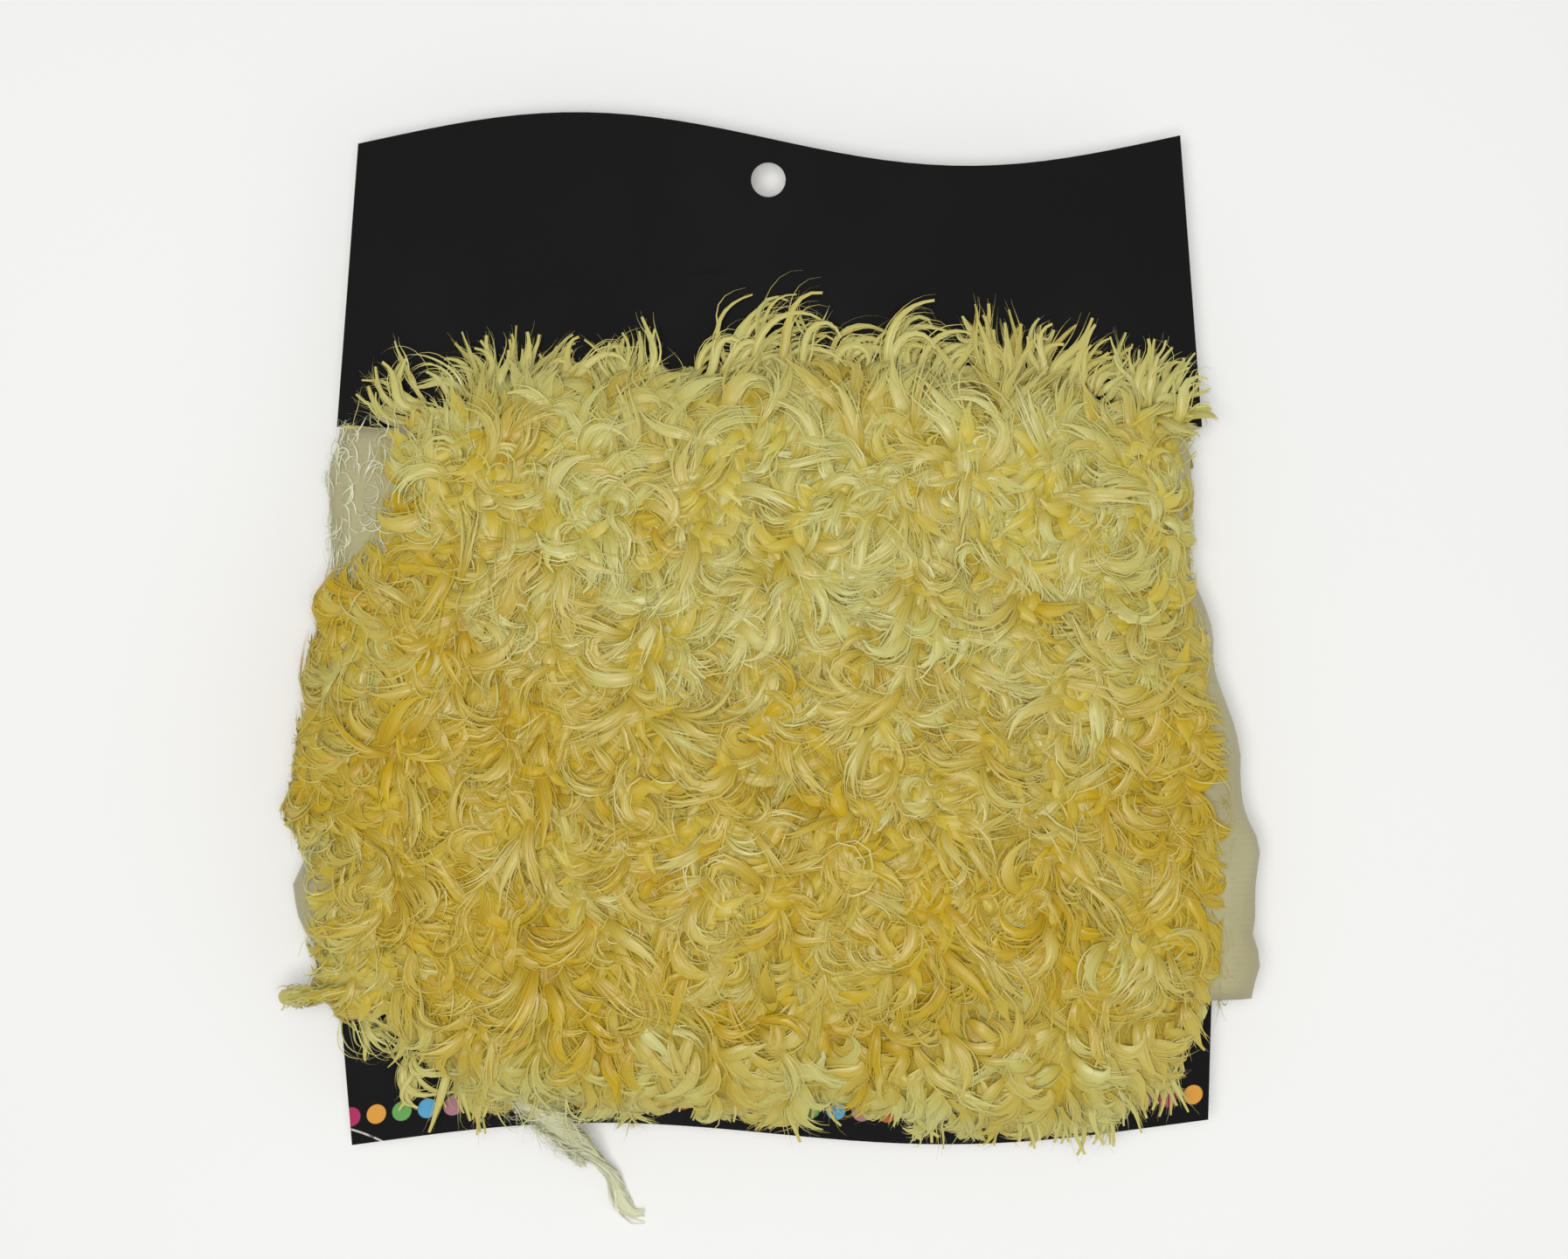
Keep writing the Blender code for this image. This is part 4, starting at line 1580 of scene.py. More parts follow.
    def undercoat(self, finish: bpy.types.Material) -> bpy.types.Object:
        """The dense short fibres below the locks: a lumpy skin over the outermost turn.

        It stands a few millimetres off the cloth, sinks into it where the pile is parted, and
        rolls over both cut edges in a quarter oval down to the card. over is 0 at the cloth and 1
        at the card.

        Args:
            finish: its material.

        Returns:
            The piece.
        """
        cloth, (columns, rows, rounds) = self.cloth, self.skin
        angle = cloth.even_angles(columns, cloth.outer_start + 0.02, cloth.end_angle - 0.02)
        inner = np.linspace(cloth.bottom, cloth.top, rows)
        nose = np.linspace(0.0, 1.0, rounds + 1)[1:]
        y = np.concatenate([np.full(rounds, inner[0]), inner, np.full(rounds, inner[-1])])
        over = np.concatenate([nose[::-1], np.zeros(rows), nose])
        grid_angle, grid_y = np.meshgrid(angle, y, indexing="ij")
        spot, normal = cloth.place(grid_angle, grid_y), cloth.normal(grid_angle, grid_y)
        x = spot[..., 0]
        rough = plane_waves(x, grid_y, 6.5, 3.0)
        covered = cloth.covered(spot + 2.0 * np.sign(x)[..., None] * np.array([1.0, 0.0, 0.0]))
        height = 0.9 * self.bed(spot, normal) - 0.15 - 0.75 * (1 - covered)
        spot = spot + normal * height[..., None]
        inward = np.clip(1 - np.abs(x / self.skin_side) ** 8, 0, 1)
        in_front = spot[..., 2] > cloth.card_level
        header, foot = (
            np.where(in_front, *(cloth.overhang(x, rim, face) for face in Face)) for rim in Rim
        )
        depth = (np.where(grid_y > 0, header, foot) + 0.8 * rough) * inward
        level = cloth.card_level + np.where(in_front, cloth.half_card, -cloth.half_card)
        spot[..., 1] += np.sign(grid_y) * depth * np.sin(over * TAU / 4) ** cloth.fullness
        spot[..., 2] = level + (spot[..., 2] - level) * np.cos(over * TAU / 4) ** cloth.fullness
        spot[..., 2] = np.maximum(spot[..., 2], 0.6)
        speckle = self.grower.rng.random(x.shape)
        # A deeper dye than the locks', read at the roots' golden colours: partly the pile's own
        # tone, partly painted shade at the bottom of the pile.
        dye = self.dye.at(x, spot[..., 1]) - 0.1 + 0.1 * speckle
        uv = np.stack([0.05 + 0.30 * self.grower.rng.random(x.shape), np.clip(dye, 0, 1)], axis=-1)
        quads = grid_quads(*x.shape)[:, ::-1]
        mesh = mesh_from_quads("undercoat", spot.reshape(-1, 3), quads, uv.reshape(-1, 2))
        return add_piece("undercoat", mesh, finish, "fur")


@dataclass(frozen=True)
class Tuft:
    """A tuft at a rim, as a fan of slim strands.

    x, y is its root, way the direction in degrees from the right, anticlockwise, curl how far it
    turns on from there, length its longest strand's, fan how far its strands spread to each side
    in degrees, and dye its paleness. thin tufts are loose fibres.
    """

    x: float
    y: float
    way: float
    curl: float
    length: float
    fan: float
    strands: int
    dye: float = 0.8
    thin: bool = False


HEADER_TUFTS: tuple[Tuft, ...] = (
    Tuft(-62.5, 53.0, 163, -58, 13.5, 20, 7, 0.86),
    Tuft(-61.5, 54.6, 152, -62, 13.0, 14, 4, 0.88),
    Tuft(-62.0, 51.6, 172, 18, 14.0, 16, 3, 0.9, True),
    Tuft(-54.7, 55.9, 151, 0, 11.8, 2, 2, 0.95),
    Tuft(-54.0, 55.5, 110, 130, 15.0, 12, 4, 0.9, True),
    Tuft(-51.0, 54.0, 82, 72, 13.5, 12, 5, 0.82),
    Tuft(-48.2, 55.0, 92, 12, 13.6, 17, 8, 0.8),
    Tuft(-42.4, 56.0, 93, -14, 13.2, 14, 8, 0.8),
    Tuft(-41.2, 57.5, 84, -95, 13.0, 5, 2, 0.85),
    Tuft(-38.6, 56.5, 96, 0, 7.5, 24, 5, 0.75),
    Tuft(-36.6, 57.0, 82, -118, 15.5, 12, 6, 0.76),
    Tuft(-31.0, 56.0, 70, -40, 10.0, 24, 5, 0.76),
    Tuft(-26.8, 57.0, 118, -48, 12.5, 8, 4, 0.8),
    Tuft(-24.0, 57.0, 98, 12, 13.0, 15, 8, 0.8),
    Tuft(-16.7, 57.7, 128, -84, 14.5, 4, 2, 0.9),
    Tuft(-14.0, 59.0, 72, -150, 14.0, 8, 4, 0.78),
    Tuft(-8.4, 58.5, 84, -165, 17.0, 10, 5, 0.8),
    Tuft(-4.4, 59.0, 97, -140, 20.0, 16, 9, 0.78),
    Tuft(0.6, 58.0, 92, -140, 19.0, 16, 8, 0.74),
    Tuft(5.8, 57.0, 84, -120, 15.0, 18, 6, 0.62),
    Tuft(7.2, 66.0, 104, -20, 8.5, 18, 3, 0.8, True),
    Tuft(12.8, 59.5, 98, -185, 19.0, 8, 6, 0.8),
    Tuft(19.8, 58.5, 94, -150, 20.0, 13, 9, 0.8),
    Tuft(26.4, 58.5, 84, -140, 18.0, 13, 7, 0.78),
    Tuft(31.0, 57.0, 76, -130, 15.0, 14, 6, 0.78),
    Tuft(39.6, 57.5, 102, 16, 15.5, 8, 14, 0.68),
    Tuft(41.4, 56.5, 92, 6, 13.0, 10, 12, 0.58),
    Tuft(45.0, 57.5, 86, -2, 12.0, 7, 6, 0.56),
    Tuft(36.6, 65.0, 122, 8, 7.5, 6, 2, 0.86),
    Tuft(45.8, 61.5, 96, -42, 9.5, 6, 2, 0.9),
    Tuft(49.4, 57.5, 92, -62, 16.0, 10, 9, 0.74),
    Tuft(53.0, 56.0, 84, -66, 13.5, 9, 9, 0.68),
    Tuft(57.6, 56.5, 46, -22, 8.0, 16, 4, 0.8),
    Tuft(64.4, 54.0, 92, -18, 13.5, 7, 13, 0.86),
    Tuft(67.2, 54.2, 80, -15, 11.5, 8, 8, 0.88),
    Tuft(68.8, 54.0, 72, -72, 11.8, 14, 6, 0.88),
    Tuft(72.5, 52.0, 72, -40, 8.5, 18, 5, 0.86),
)

FOOT_TUFTS: tuple[Tuft, ...] = (
    Tuft(-75.4, -52.0, 268, 92, 13.0, 10, 3, 0.9, True),
    Tuft(-72.0, -53.5, 278, 70, 10.0, 16, 4, 0.8),
    Tuft(-69.5, -55.5, 290, 95, 11.0, 14, 4, 0.88, True),
    Tuft(-62.7, -61.5, 205, 130, 10.5, 8, 5, 0.84),
    Tuft(-64.0, -60.6, 285, 105, 13.5, 7, 4, 0.8),
    Tuft(-61.7, -61.6, 14, 6, 9.0, 4, 2, 0.84),
    Tuft(-57.5, -60.0, 300, 20, 11.0, 18, 5, 0.68),
    Tuft(-54.0, -59.5, 275, 2, 15.0, 8, 12, 0.72),
    Tuft(-48.5, -59.5, 285, 35, 13.0, 26, 6, 0.82, True),
    Tuft(-47.0, -63.0, 240, 150, 12.0, 40, 6, 0.92, True),
    Tuft(-41.5, -64.0, 300, -160, 11.0, 40, 6, 0.92, True),
    Tuft(-37.0, -64.0, 255, 130, 12.5, 36, 6, 0.92, True),
    Tuft(-42.0, -60.0, 288, 60, 13.0, 24, 5, 0.86, True),
    Tuft(-33.5, -60.5, 262, 40, 12.0, 18, 5, 0.84, True),
    Tuft(-28.0, -60.5, 292, 60, 13.0, 12, 6, 0.82),
    Tuft(-20.0, -60.0, 282, 20, 12.0, 18, 6, 0.74),
    Tuft(-14.6, -60.0, 275, 8, 11.5, 20, 6, 0.7),
    Tuft(-7.0, -60.0, 288, -15, 12.5, 20, 7, 0.72),
    Tuft(0.0, -60.0, 296, -25, 12.5, 18, 6, 0.74),
    Tuft(5.2, -60.0, 276, -6, 16.0, 9, 7, 0.82),
    Tuft(9.0, -62.0, 292, -18, 12.0, 4, 2, 0.88, True),
    Tuft(15.0, -59.0, 305, -10, 11.0, 16, 5, 0.74),
    Tuft(20.5, -61.5, 312, -28, 16.5, 13, 9, 0.72),
    Tuft(28.0, -61.5, 296, -10, 15.0, 18, 8, 0.74),
    Tuft(34.5, -61.5, 300, -35, 14.5, 24, 6, 0.84, True),
    Tuft(41.0, -61.0, 300, -25, 15.5, 20, 8, 0.78),
    Tuft(47.0, -61.0, 292, -20, 17.0, 16, 9, 0.8),
    Tuft(54.4, -61.0, 284, -10, 16.5, 12, 12, 0.86),
    Tuft(57.4, -63.5, 280, -6, 14.5, 10, 11, 0.87),
    Tuft(61.5, -60.5, 285, -20, 13.0, 10, 6, 0.84),
    Tuft(63.5, -60.0, 285, -40, 12.0, 24, 4, 0.9, True),
    Tuft(66.6, -58.5, 280, 4, 15.0, 8, 9, 0.84),
    Tuft(69.4, -57.0, 270, 4, 15.0, 7, 7, 0.84),
    Tuft(73.6, -50.5, 284, -90, 12.0, 10, 4, 0.88, True),
    Tuft(72.6, -49.5, 280, -30, 10.5, 16, 6, 0.8),
)


@dataclass
class RimFringe:
    """The pile over one cut edge: a dense fill from every layer of cloth, and placed tufts.

    span is the stretch of x that the fill's rows are laid out over.
    """

    cloth: WoundCloth
    dye: PileTone
    grower: Grower
    rim: Rim
    tufts: tuple[Tuft, ...]
    span: tuple[float, float] = (-76.5, 79.0)
    samples: int = 400

    def fill(self, face: Face) -> Locks:
        """Short curled locks all over the rounded mass of pile at the edge, down to the card.

        The mass falls from the last turn to the card in a quarter oval, over which the locks
        stand in rows. over is 0 at the cloth and 1 at the card, and lean is how far the locks
        turn to the right.

        Args:
            face: the side of the card.

        Returns:
            The locks.
        """
        rng, cloth, out = self.grower.rng, self.cloth, self.rim.value
        header, front = self.rim is Rim.HEADER, face is Face.FRONT
        edge, half = cloth.cut_edge(self.rim), cloth.half_card
        spacing = 2.7 if front else 4.6
        rows = (5 if header else 8) if front else 3
        x, row = (
            part.ravel() for part in np.meshgrid(np.arange(*self.span, spacing), np.arange(rows))
        )
        count = len(x)
        x = x + (0.5 * (row % 2) + rng.uniform(-0.45, 0.45, count)) * spacing
        over = (row + 0.5 + rng.uniform(-0.45, 0.45, count)) / rows
        angle = np.linspace(2.0 * TAU, 2.5 * TAU, self.samples) + (0.0 if front else TAU / 2)
        turn = cloth.place(angle, np.array(edge))
        order = np.argsort(turn[:, 0])
        last = np.interp(x, turn[order, 0], turn[order, 2]) - cloth.card_level
        side = 1.0 - np.clip(np.abs(x / self.span[1]), 0, 1) ** 8
        wide, high = cloth.overhang(x, self.rim, face) * side + 0.5, np.abs(last) + 1.8
        arc = over * TAU / 4
        spot = np.stack([
            x,
            edge + out * wide * np.sin(arc) ** cloth.fullness,
            cloth.card_level + face.value * (half + (high - half) * np.cos(arc) ** cloth.fullness),
        ], axis=-1)
        zero = np.zeros(count)
        flat = 0.7 * over**2
        normal = np.stack(
            [zero, out * np.sin(arc) / wide, face.value * np.cos(arc) / high], axis=-1
        )
        normal = unit(normal) * (1 - flat)[:, None]
        normal = unit(normal + flat[:, None] * np.array([0.0, 0.0, float(face.value)]))
        lean = 0.8 * plane_waves(x, spot[:, 1], 22.0, 3.3) + 0.5 * rng.standard_normal(count)
        if not header:
            lean = lean + (0.3 * smooth_step(-10.0, 30.0, x) - smooth_step(58.0, 73.0, x))
        way = np.stack([lean, np.full(count, float(out)), zero], axis=-1)
        low = 1.0 - over
        curl = np.tanh(2.0 * plane_waves(x, spot[:, 1], 15.0, 6.1))
        curl = curl + 0.5 * rng.standard_normal(count)
        locks = Locks(
            root=spot,
            normal=normal,
            lay=unit(way - (way * normal).sum(-1, keepdims=True) * normal),
            length=rng.uniform(9.0, 14.0, count) * (1 - 0.42 * over),
            curl=(1.7 if header else 2.3) * curl,
            lift=rng.uniform(0.16, 0.3, count),
            rise=np.radians(rng.uniform(12.0, 28.0, count) + 24.0 * low),
            fall=np.radians(rng.uniform(-20.0, 2.0, count)),
            half_width=rng.uniform(0.7, 1.5, count),
            half_depth=rng.uniform(0.22, 0.45, count),
            dye=self.dye.at(x, spot[:, 1]) + 0.08 * rng.standard_normal(count),
        )
        return locks.pick(wide > 1.2)

    def placed(self, thin: bool) -> Locks:
        """The placed tufts as slim strands, each with its own root, way and length.

        Args:
            thin: whether the tufts of loose fibres are made, or else the full ones.

        Returns:
            The strands as locks.
        """
        rng, crops = self.grower.rng, []
        for tuft in (t for t in self.tufts if t.thin is thin):
            n = tuft.strands
            fan = np.linspace(-1.0, 1.0, n) if n > 1 else np.zeros(1)
            way = np.radians(tuft.way + tuft.fan * fan + rng.uniform(-8, 8, n))
            across = np.radians(tuft.way - 90.0)
            offset = -0.24 * n * fan * (0.6 if thin else 1.0)
            x = tuft.x + offset * math.cos(across) + rng.uniform(-0.3, 0.3, n)
            y = tuft.y + offset * math.sin(across) + rng.uniform(-0.8, 0.3, n)
            z = self.cloth.card_level + rng.uniform(2.2, 6.0, n)
            crops.append(Locks(
                root=np.stack([x, y, z], axis=-1),
                normal=np.tile([0.0, 0.0, 1.0], (n, 1)),
                lay=np.stack([np.cos(way), np.sin(way), np.zeros(n)], axis=-1),
                length=tuft.length * rng.uniform(0.68, 1.08, n),
                curl=np.radians(tuft.curl) * rng.uniform(0.7, 1.3, n)
                + 0.35 * rng.standard_normal(n),
                lift=rng.uniform(0.3, 0.5, n),
                rise=np.radians(rng.uniform(5.0, 26.0, n)),
                fall=np.radians(rng.uniform(-22.0, -6.0, n)),
                half_width=np.full(n, 0.25 if thin else 0.58) * rng.uniform(0.65, 1.4, n),
                half_depth=np.full(n, 0.15 if thin else 0.26),
                dye=np.clip(tuft.dye + 0.06 * rng.standard_normal(n), 0.05, 0.96),
            ))
        return Locks.join(crops)

    def strays(self, count: int) -> Locks:
        """Loose curled fibres along the edge, in front of the card.

        Args:
            count: how many.

        Returns:
            The fibres as locks.
        """
        rng, out, edge = self.grower.rng, self.rim.value, self.cloth.cut_edge(self.rim)
        x = rng.uniform(-74.0, 76.0, count)
        y = edge + out * rng.uniform(0.0, 9.0, count)
        way = out * TAU / 4 + rng.normal(0.0, 0.5, count)
        return Locks(
            root=np.stack([x, y, self.cloth.card_level + rng.uniform(1.5, 8.0, count)], axis=-1),
            normal=np.tile([0.0, 0.0, 1.0], (count, 1)),
            lay=np.stack([np.cos(way), np.sin(way), np.zeros(count)], axis=-1),
            length=rng.uniform(5.0, 10.0, count),
            curl=2.2 * rng.standard_normal(count),
            lift=rng.uniform(0.2, 0.5, count),
            rise=np.radians(rng.uniform(5.0, 40.0, count)),
            fall=np.radians(rng.uniform(-30.0, 0.0, count)),
            half_width=rng.uniform(0.3, 0.8, count),
            half_depth=np.full(count, 0.2),
            dye=rng.uniform(0.7, 0.96, count),
        )


# Strands along a path.


def smooth_route(points: Array, count: int) -> Array:
    """Even points on a smooth curve through the given ones.

    Between two points the curve is a cubic, whose slope at each point is half the step from the
    point before it to the point after it.

    Args:
        points: (n, 3) points.
        count: how many points are made.

    Returns:
        (count, 3) points.
    """
    padded = np.concatenate([[2 * points[0] - points[1]], points, [2 * points[-1] - points[-2]]])
    spans = len(points) - 1
    where = np.linspace(0.0, spans - 1e-9, 40 * spans)
    k, t = where.astype(int), (where % 1.0)[:, None]
    a, b, c, d = (padded[k + i] for i in range(4))
    curve = 2 * b + (c - a) * t + (2 * a - 5 * b + 4 * c - d) * t**2
    curve = (curve + (3 * b - a - 3 * c + d) * t**3) / 2
    length = np.concatenate([[0.0], np.cumsum(np.linalg.norm(np.diff(curve, axis=0), axis=1))])
    even = np.linspace(0.0, length[-1], count)
    return np.stack([np.interp(even, length, curve[:, i]) for i in range(3)], axis=-1)


@dataclass
class FibreBundle:
    """A bundle of matted fibres along a route: a core tube, fibres laid round it, and flyaways.

    route is its middle line, steps how many points it is read at, and widths and depths are its
    half sizes along it, read evenly. fibres and flyaways are how many there are of each. They
    turn round it by twist, stray by wander, and stay above floor.
    """

    name: str
    route: Array
    widths: tuple[float, ...]
    depths: tuple[float, ...]
    dye: float
    fibres: int = 70
    flyaways: int = 26
    steps: int = 26
    twist: float = 1.1
    floor: float = 0.12
    wander: float = 0.25
    core_share: float = 0.62
    core_sides: int = 10
    half_fibre: float = 0.17
    half_flyaway: float = 0.08

    def frame(self) -> tuple[Array, Array, Array]:
        """Follows the route.

        Returns:
            Its points, and its ways sideways and up, each (steps, 3).
        """
        spots = smooth_route(self.route, self.steps)
        forward = unit(np.gradient(spots, axis=0))
        sideways = unit(np.cross(forward, [0.0, 0.0, 1.0]))
        return spots, sideways, np.cross(sideways, forward)

    def size(self, sizes: tuple[float, ...]) -> Array:
        """A half size at each step of the route."""
        where = np.linspace(0.0, 1.0, self.steps)
        return np.interp(where, np.linspace(0.0, 1.0, len(sizes)), sizes)

    def core(self) -> Surface:
        """The tube: an oval carried along the route, drawn in almost to a point at each end.

        Returns:
            Its surface.
        """
        spots, sideways, up = self.frame()
        sides, share = self.core_sides, self.core_share
        turn = np.arange(sides) / sides * TAU
        ends = np.ones(self.steps)
        ends[0] = ends[-1] = 0.05
        ends[-2] = 0.75
        wide, deep = self.size(self.widths) * share * ends, self.size(self.depths) * share * ends
        ring = spots[:, None] + (
            np.cos(turn)[None, :, None] * wide[:, None, None] * sideways[:, None]
        )
        ring = ring + np.sin(turn)[None, :, None] * deep[:, None, None] * up[:, None]
        along = np.linspace(0.05, 0.6, self.steps)[:, None] * np.ones((1, sides))
        dye = self.dye - 0.1 + 0.06 * np.cos(turn)[None, :] * np.ones((self.steps, 1))
        quads = grid_quads(self.steps, sides, wrap=True)
        return Surface(ring.reshape(-1, 3), quads, np.stack([along, dye], axis=-1).reshape(-1, 2))

    def ribbons(self, rng: np.random.Generator) -> Surface:
        """Fibres that run with the route, turned slowly round it, some lifting off it.

        Args:
            rng: the source of random numbers.

        Returns:
            Their surface.
        """
        spots, sideways, up = self.frame()
        total = self.fibres + self.flyaways
        t = np.linspace(0.0, 1.0, self.steps)
        loose = (np.arange(total) >= self.fibres)[:, None]
        start = rng.uniform(0.0, 0.55, (total, 1)) * (1 - 0.3 * loose)
        span = rng.uniform(0.3, 0.6, (total, 1)) * np.where(loose, 0.5, 1.0)
        share = np.clip(start + span * t, 0.0, 1.0)
        index = share * (self.steps - 1)
        angle = rng.uniform(0, TAU, (total, 1)) + self.twist * TAU * share
        angle = angle + self.wander * rng.standard_normal((total, 1)) * np.sin(TAU * t * 1.5)
        away = rng.uniform(0.7, 1.06, (total, 1)) + 0.12 * np.sin(TAU * (2 * t + angle[:, :1]))
        away = np.where(loose, 1.0 + 2.2 * t**1.5 * rng.uniform(0.2, 1.0, (total, 1)), away)

        def read(values: Array) -> Array:
            """Reads what is known at the route's steps at each fibre's own places.

            Args:
                values: (steps,) or (steps, 3).

            Returns:
                (total, steps) or (total, steps, 3).
            """
            grid = np.arange(self.steps)
            if values.ndim == 1:
                return np.interp(index, grid, values)
            return np.stack([np.interp(index, grid, values[:, i]) for i in range(3)], axis=-1)

        wide, deep = read(self.size(self.widths)) * away, read(self.size(self.depths)) * away
        side_way, up_way = read(sideways), read(up)
        spot = read(spots) + (wide * np.cos(angle))[..., None] * side_way
        spot = spot + (deep * np.sin(angle))[..., None] * up_way
        edge = (-wide * np.sin(angle))[..., None] * side_way
        edge = unit(edge + (deep * np.cos(angle))[..., None] * up_way)
        leaf = np.minimum(1.0, 0.4 + t / 0.15) * (1 - 0.92 * smooth_step(0.6, 1.0, t))
        half = np.where(loose, self.half_flyaway, self.half_fibre) * leaf
        half = half * rng.uniform(0.6, 1.4, (total, 1))
        edge = edge * half[..., None]
        left, right = spot + edge, spot - edge
        for side in (left, right):
            side[..., 2] = np.maximum(side[..., 2], self.floor)
        dye = self.dye + 0.2 * rng.standard_normal((total, 1)) + np.array([-0.008, 0.008])
        return Surface.strips(np.stack([right, left], axis=2), 0.1 + 0.88 * t, dye)

    def build(
        self, finish: bpy.types.Material, slot: str, rng: np.random.Generator
    ) -> bpy.types.Object:
        """Joins the core and its fibres in one piece."""
        return Surface.join([self.core(), self.ribbons(rng)]).build(self.name, finish, slot)


# Studio.


@dataclass(frozen=True)
class Lamp:
    """A square soft light that faces the part. Its place and its size are in metres."""

    name: str
    spot: Place
    size: float
    power: float
    tint: Colour
    target: Place = (0.0, 0.01, 0.02)

    def build(self) -> None:
        """Hangs the lamp in the scene, turned to its target."""
        data = bpy.data.lights.new(self.name, "AREA")
        data.shape, data.size, data.energy, data.color = "SQUARE", self.size, self.power, self.tint
        lamp = bpy.data.objects.new(self.name, data)
        lamp.location = self.spot
        away = np.array(self.spot) - np.array(self.target)
        pitch = math.atan2(math.hypot(away[0], away[1]), away[2])
        lamp.rotation_euler = (pitch, 0.0, math.atan2(away[0], -away[1]))
        bpy.context.collection.objects.link(lamp)


@dataclass
class Studio:
    """A pale floor, a soft key light with a weak fill, and a camera square above the card.

    scale is the picture's pixels to a millimetre, and aim the point under the camera, which
    hangs height above level.
    """

    scale: float = 6.4
    picture_width: int = 1794
    sensor: float = 36.0
    aim: tuple[float, float] = (2.2, 14.8)
    height: float = 650.0
    level: float = 14.0
    floor_half: float = 2500.0
    sky: Colour = (0.95, 0.97, 1.0)
    sky_strength: float = 0.34
    finish: FloorFinish = FloorFinish()
    lamps: tuple[Lamp, ...] = (
        Lamp("key", (-0.04, -0.02, 1.0), 0.32, 6.4, (1.0, 0.99, 0.97)),
        Lamp("fill", (0.9, -0.5, 0.9), 1.2, 1.2, (0.97, 0.98, 1.0)),
    )

    def floor(self) -> None:
        """A wide plane just under the part."""
        half = self.floor_half
        corners = np.array([(-half, -half, 0), (half, -half, 0), (half, half, 0), (-half, half, 0)])
        mesh = mesh_from_quads("floor", corners.astype(float), np.array([[0, 1, 2, 3]]), None)
        mesh.materials.append(self.finish.material())
        floor = bpy.data.objects.new("floor", mesh)
        bpy.context.collection.objects.link(floor)
        floor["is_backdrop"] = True

    def camera(self) -> None:
        """The picture's width spans its number of pixels over the scale, at the card's level."""
        data = bpy.data.cameras.new("camera")
        data.sensor_width = self.sensor
        data.lens = self.sensor * self.height / (self.picture_width / self.scale)
        data.clip_start, data.clip_end = 0.01, 20.0
        camera = bpy.data.objects.new("camera", data)
        camera.location = (self.aim[0] * MM, self.aim[1] * MM, (self.level + self.height) * MM)
        bpy.context.collection.objects.link(camera)
        bpy.context.scene.camera = camera

    def build(self) -> None:
        """Sets up the floor, the camera, the lights and plain colours."""
        self.floor()
        self.camera()
        for lamp in self.lamps:
            lamp.build()
        world = bpy.data.worlds.new("studio")
        world.use_nodes = True
        background = world.node_tree.nodes["Background"]
        background.inputs["Color"].default_value = (*self.sky, 1.0)
        background.inputs["Strength"].default_value = self.sky_strength
        bpy.context.scene.world = world
        bpy.context.scene.view_settings.view_transform = "Standard"


# The whole part.


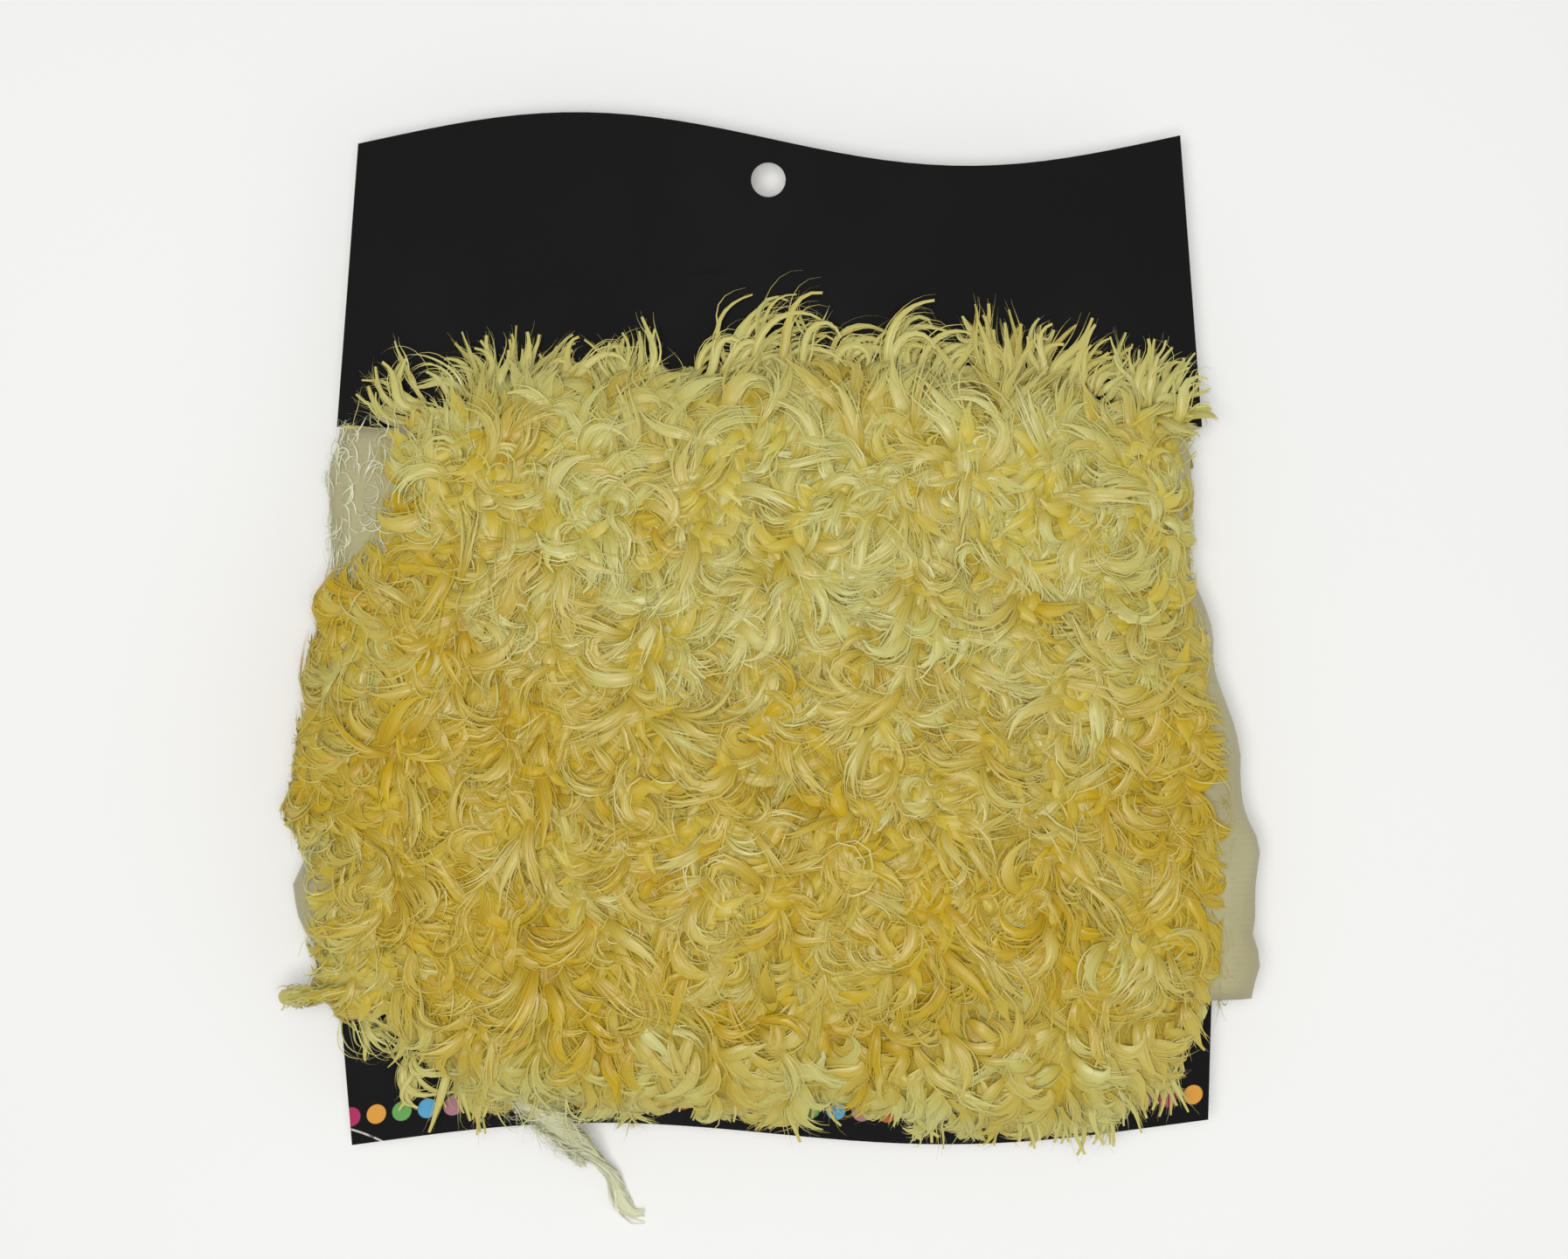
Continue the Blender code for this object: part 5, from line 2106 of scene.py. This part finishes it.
@dataclass
class FurTrim:
    """The wound strip with its pile, its frayed end and the card that it is wound on.

    flat_length is the strip's length in metres when it is unrolled, one yard; it is not used.
    middle is how far up and down the card's face the middle piece of the pile reaches.
    """

    seed: int = 20
    flat_length: float = 0.914
    middle: float = 17.0
    stray_count: int = 1500
    curl_count: int = 260
    rim_stray_count: int = 60
    # The roots' deeper golden colours are partly the pile's own tone and partly painted shade deep
    # in the pile.
    pile: FibreFinish = FibreFinish(
        "yellow_pile",
        deep_root=(0.475, 0.285, 0.003),
        pale_root=(0.515, 0.405, 0.032),
        deep_tip=(0.55, 0.377, 0.006),
        pale_tip=(0.59, 0.562, 0.195),
        gloss=0.40,
    )
    short: FibreFinish = replace(pile, name="short_pile", matted=True)
    # Lighter than the pile's colours: painted light that lifts the crevices under the top locks.
    under: FibreFinish = FibreFinish(
        "under_pile",
        deep_root=(0.543, 0.348, 0.005),
        pale_root=(0.583, 0.466, 0.048),
        deep_tip=(0.567, 0.397, 0.008),
        pale_tip=(0.616, 0.56, 0.17),
        gloss=0.2,
    )
    frayed: FibreFinish = FibreFinish(
        "cream_fibres",
        deep_root=(0.50, 0.48, 0.26),
        pale_root=(0.66, 0.66, 0.44),
        deep_tip=(0.64, 0.63, 0.37),
        pale_tip=(0.80, 0.81, 0.60),
        gloss=0.3,
    )
    knit: KnitFinish = KnitFinish()
    card: CardFinish = CardFinish()

    def build(self, nodes: dict[str, bpy.types.Object]) -> None:
        """Makes every piece, hides the solids that they stand in for, and dresses the card.

        Args:
            nodes: the frame's solids by name.
        """
        rng = np.random.default_rng(self.seed)
        cloth, dye = WoundCloth(), PileTone()
        grower = Grower(cloth, rng)
        coat = PileCoat(cloth, dye, grower)
        fibre_dye_and_shade = fibre_dye_and_shade_group()
        pile, frayed = self.pile.material(fibre_dye_and_shade), self.frayed.material(fibre_dye_and_shade)
        under = self.under.material(fibre_dye_and_shade)

        backing = cloth.build(self.knit)
        pieces = [coat.undercoat(self.short.material(fibre_dye_and_shade))]
        pieces += self.coat_pieces(coat, pile, under, frayed)
        header = RimFringe(cloth, dye, grower, Rim.HEADER, HEADER_TUFTS)
        foot = RimFringe(cloth, dye, grower, Rim.FOOT, FOOT_TUFTS)
        for fringe, name in ((header, "header_fringe"), (foot, "foot_fringe")):
            pieces += self.fringe_pieces(fringe, name, pile)
        pieces.append(self.curled_lock().build(pile, "fur", rng))
        strands = [bundle.build(frayed, "frayed_cloth", rng) for bundle in self.frayed_strands()]

        for piece in (backing, *pieces):
            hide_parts("fur_trim")
        for strand in strands:
            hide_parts("frayed_end")
        self.dress_card(nodes["card"])
        length = cloth.length(cloth.start_angle, cloth.end_angle)
        LOG.info("cloth: %.1f by %.1f mm", cloth.top - cloth.bottom, length)

    def coat_pieces(
        self,
        coat: PileCoat,
        pile: bpy.types.Material,
        under: bpy.types.Material,
        frayed: bpy.types.Material,
    ) -> list[bpy.types.Object]:
        """The coat's layers; the one on top is in pieces by where its locks stand.

        Args:
            coat: the coat.
            pile, under, frayed: the materials of the pile, of its lowest locks, lightened as
                painted
            light in the crevices, and of cream fibres.

        Returns:
            The pieces.
        """
        grow = coat.grower.grow
        # The lowest locks lie in the crevices: they show mostly the roots' golden colours, partly
        # painted shade, and take the lighter under_pile colours as painted light.
        plain = Habit(fibres=3, steps=6, fibre_width=0.5, hue=(0.05, 0.7))
        made = [grow(coat.crop(UNDERLAY), plain).build("pile_below", under)]
        locks = Locks.join([coat.crop(OVERLAY), coat.crop(CROSSLAY)])
        y, middle = locks.root[:, 1], self.middle
        groups = {
            "pile_upper": y > middle,
            "pile_middle": np.abs(y) <= middle,
            "pile_lower": y < -middle,
        }
        made += [
            grow(locks.pick(mask), Habit()).build(name, pile) for name, mask in groups.items()
        ]
        broad = Habit(fibres=3, steps=7, fibre_width=0.7)
        made.append(grow(coat.crop(BACK_LAYER), broad).build("pile_back", pile))
        fine = Habit(sides=0, fibres=1, steps=10, fibre_width=0.2)
        made.append(grow(coat.strays(self.stray_count), fine).build("stray_fibres", pile))
        curls = Habit(sides=0, fibres=2, steps=12, fibre_width=0.2, splay=0.5, slack=20.0)
        made.append(grow(coat.bare_curls(self.curl_count), curls).build("bare_curls", frayed))
        return made

    def fringe_pieces(
        self, fringe: RimFringe, name: str, pile: bpy.types.Material
    ) -> list[bpy.types.Object]:
        """A rim's fill in front and behind, its tufts and its loose fibres.

        Args:
            fringe: the rim's fringe.
            name: the start of the pieces' names.
            pile: the pile's material.

        Returns:
            The pieces.
        """
        grow = fringe.grower.grow
        slim = Habit(
            fibres=4, steps=11, fibre_width=0.24, splay=0.13, aim=0.05, sway=0.5, ripple=0.14,
            length_jitter=0.08, close=0.66, coil=1.4, hue=(0.4, 0.99),
        )
        wispy = Habit(
            sides=0, fibres=3, steps=12, fibre_width=0.26, splay=0.22, coil=1.5, hue=(0.5, 0.99)
        )
        single = Habit(sides=0, fibres=1, steps=12, fibre_width=0.18)
        full = Habit(fibres=8, splay=0.15, length_jitter=0.1, sway=0.42)
        broad = Habit(fibres=4, steps=7, fibre_width=0.6)
        crops = {
            f"{name}_front": (fringe.fill(Face.FRONT), full),
            f"{name}_back": (fringe.fill(Face.BACK), broad),
            f"{name}_tufts": (fringe.placed(False), slim),
            f"{name}_wisps": (fringe.placed(True), wispy),
            f"{name}_strays": (fringe.strays(self.rim_stray_count), single),
        }
        return [grow(locks, habit).build(key, pile) for key, (locks, habit) in crops.items()]

    def curled_lock(self) -> FibreBundle:
        """The blunt curled lock that stands out to the left at the lower turn.

        Returns:
            Its bundle.
        """
        route = np.array([
            (-73.0, -48.4, 23.0), (-77.0, -49.2, 24.0), (-81.0, -49.8, 22.6),
            (-85.0, -50.2, 19.2), (-87.7, -51.0, 17.0),
        ])
        return FibreBundle(
            "curled_lock", route, (1.3, 1.5, 1.7, 2.2, 2.3), (1.0, 1.1, 1.3, 1.6, 1.4),
            dye=0.9, fibres=70, flyaways=10, twist=0.5,
        )

    def frayed_strands(self) -> tuple[FibreBundle, FibreBundle]:
        """The narrow frayed end, from the foot's rim down to the surface, and its side lobe.

        Returns:
            The two bundles.
        """
        route = np.array([
            (-50.0, -61.0, 17.5), (-45.0, -68.0, 16.2), (-37.6, -74.4, 15.2), (-33.4, -78.4, 11.4),
            (-31.0, -81.6, 7.2), (-29.0, -84.2, 4.0), (-28.2, -87.0, 2.0), (-27.4, -89.6, 1.5),
            (-25.4, -91.8, 1.2), (-23.2, -92.0, 1.1),
        ])
        lobe = np.array([
            (-38.0, -73.8, 14.6), (-36.0, -77.6, 11.6), (-34.8, -80.6, 8.4), (-34.6, -82.6, 6.4),
        ])
        side = FibreBundle(
            "frayed_lobe", lobe, (1.2, 1.5, 1.6, 1.2), (0.6, 0.8, 0.8, 0.6), dye=0.62,
            fibres=44, flyaways=40, steps=14, wander=0.5,
        )
        main = FibreBundle(
            "frayed_strand", route, (1.4, 1.8, 2.4, 2.5, 2.3, 1.4, 1.0, 1.3, 1.9, 1.7),
            (0.7, 0.8, 0.8, 1.0, 1.1, 0.8, 0.8, 0.7, 0.9, 0.8), dye=0.6, fibres=110, flyaways=90,
            wander=0.5,
        )
        return main, side

    def dress_card(self, node: bpy.types.Object) -> None:
        """Gives the card's own solid its printed finish.

        Args:
            node: the solid.
        """
        finish = self.card.material()
        if not node.material_slots:
            node.data.materials.append(finish)
        for slot in node.material_slots:
            slot.material = finish


def main() -> None:
    """Loads the frame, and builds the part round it."""
    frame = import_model()
    solid_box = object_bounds()
    Studio().build()
    FurTrim().build(frame["nodes"])
    boxes = {"cad": solid_box, "visual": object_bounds()}
    plain = {key: [[float(n) for n in corner] for corner in box] for key, box in boxes.items()}


if __name__ == "__main__":
    logging.basicConfig(level=logging.INFO, format="%(name)s: %(message)s")
    main()
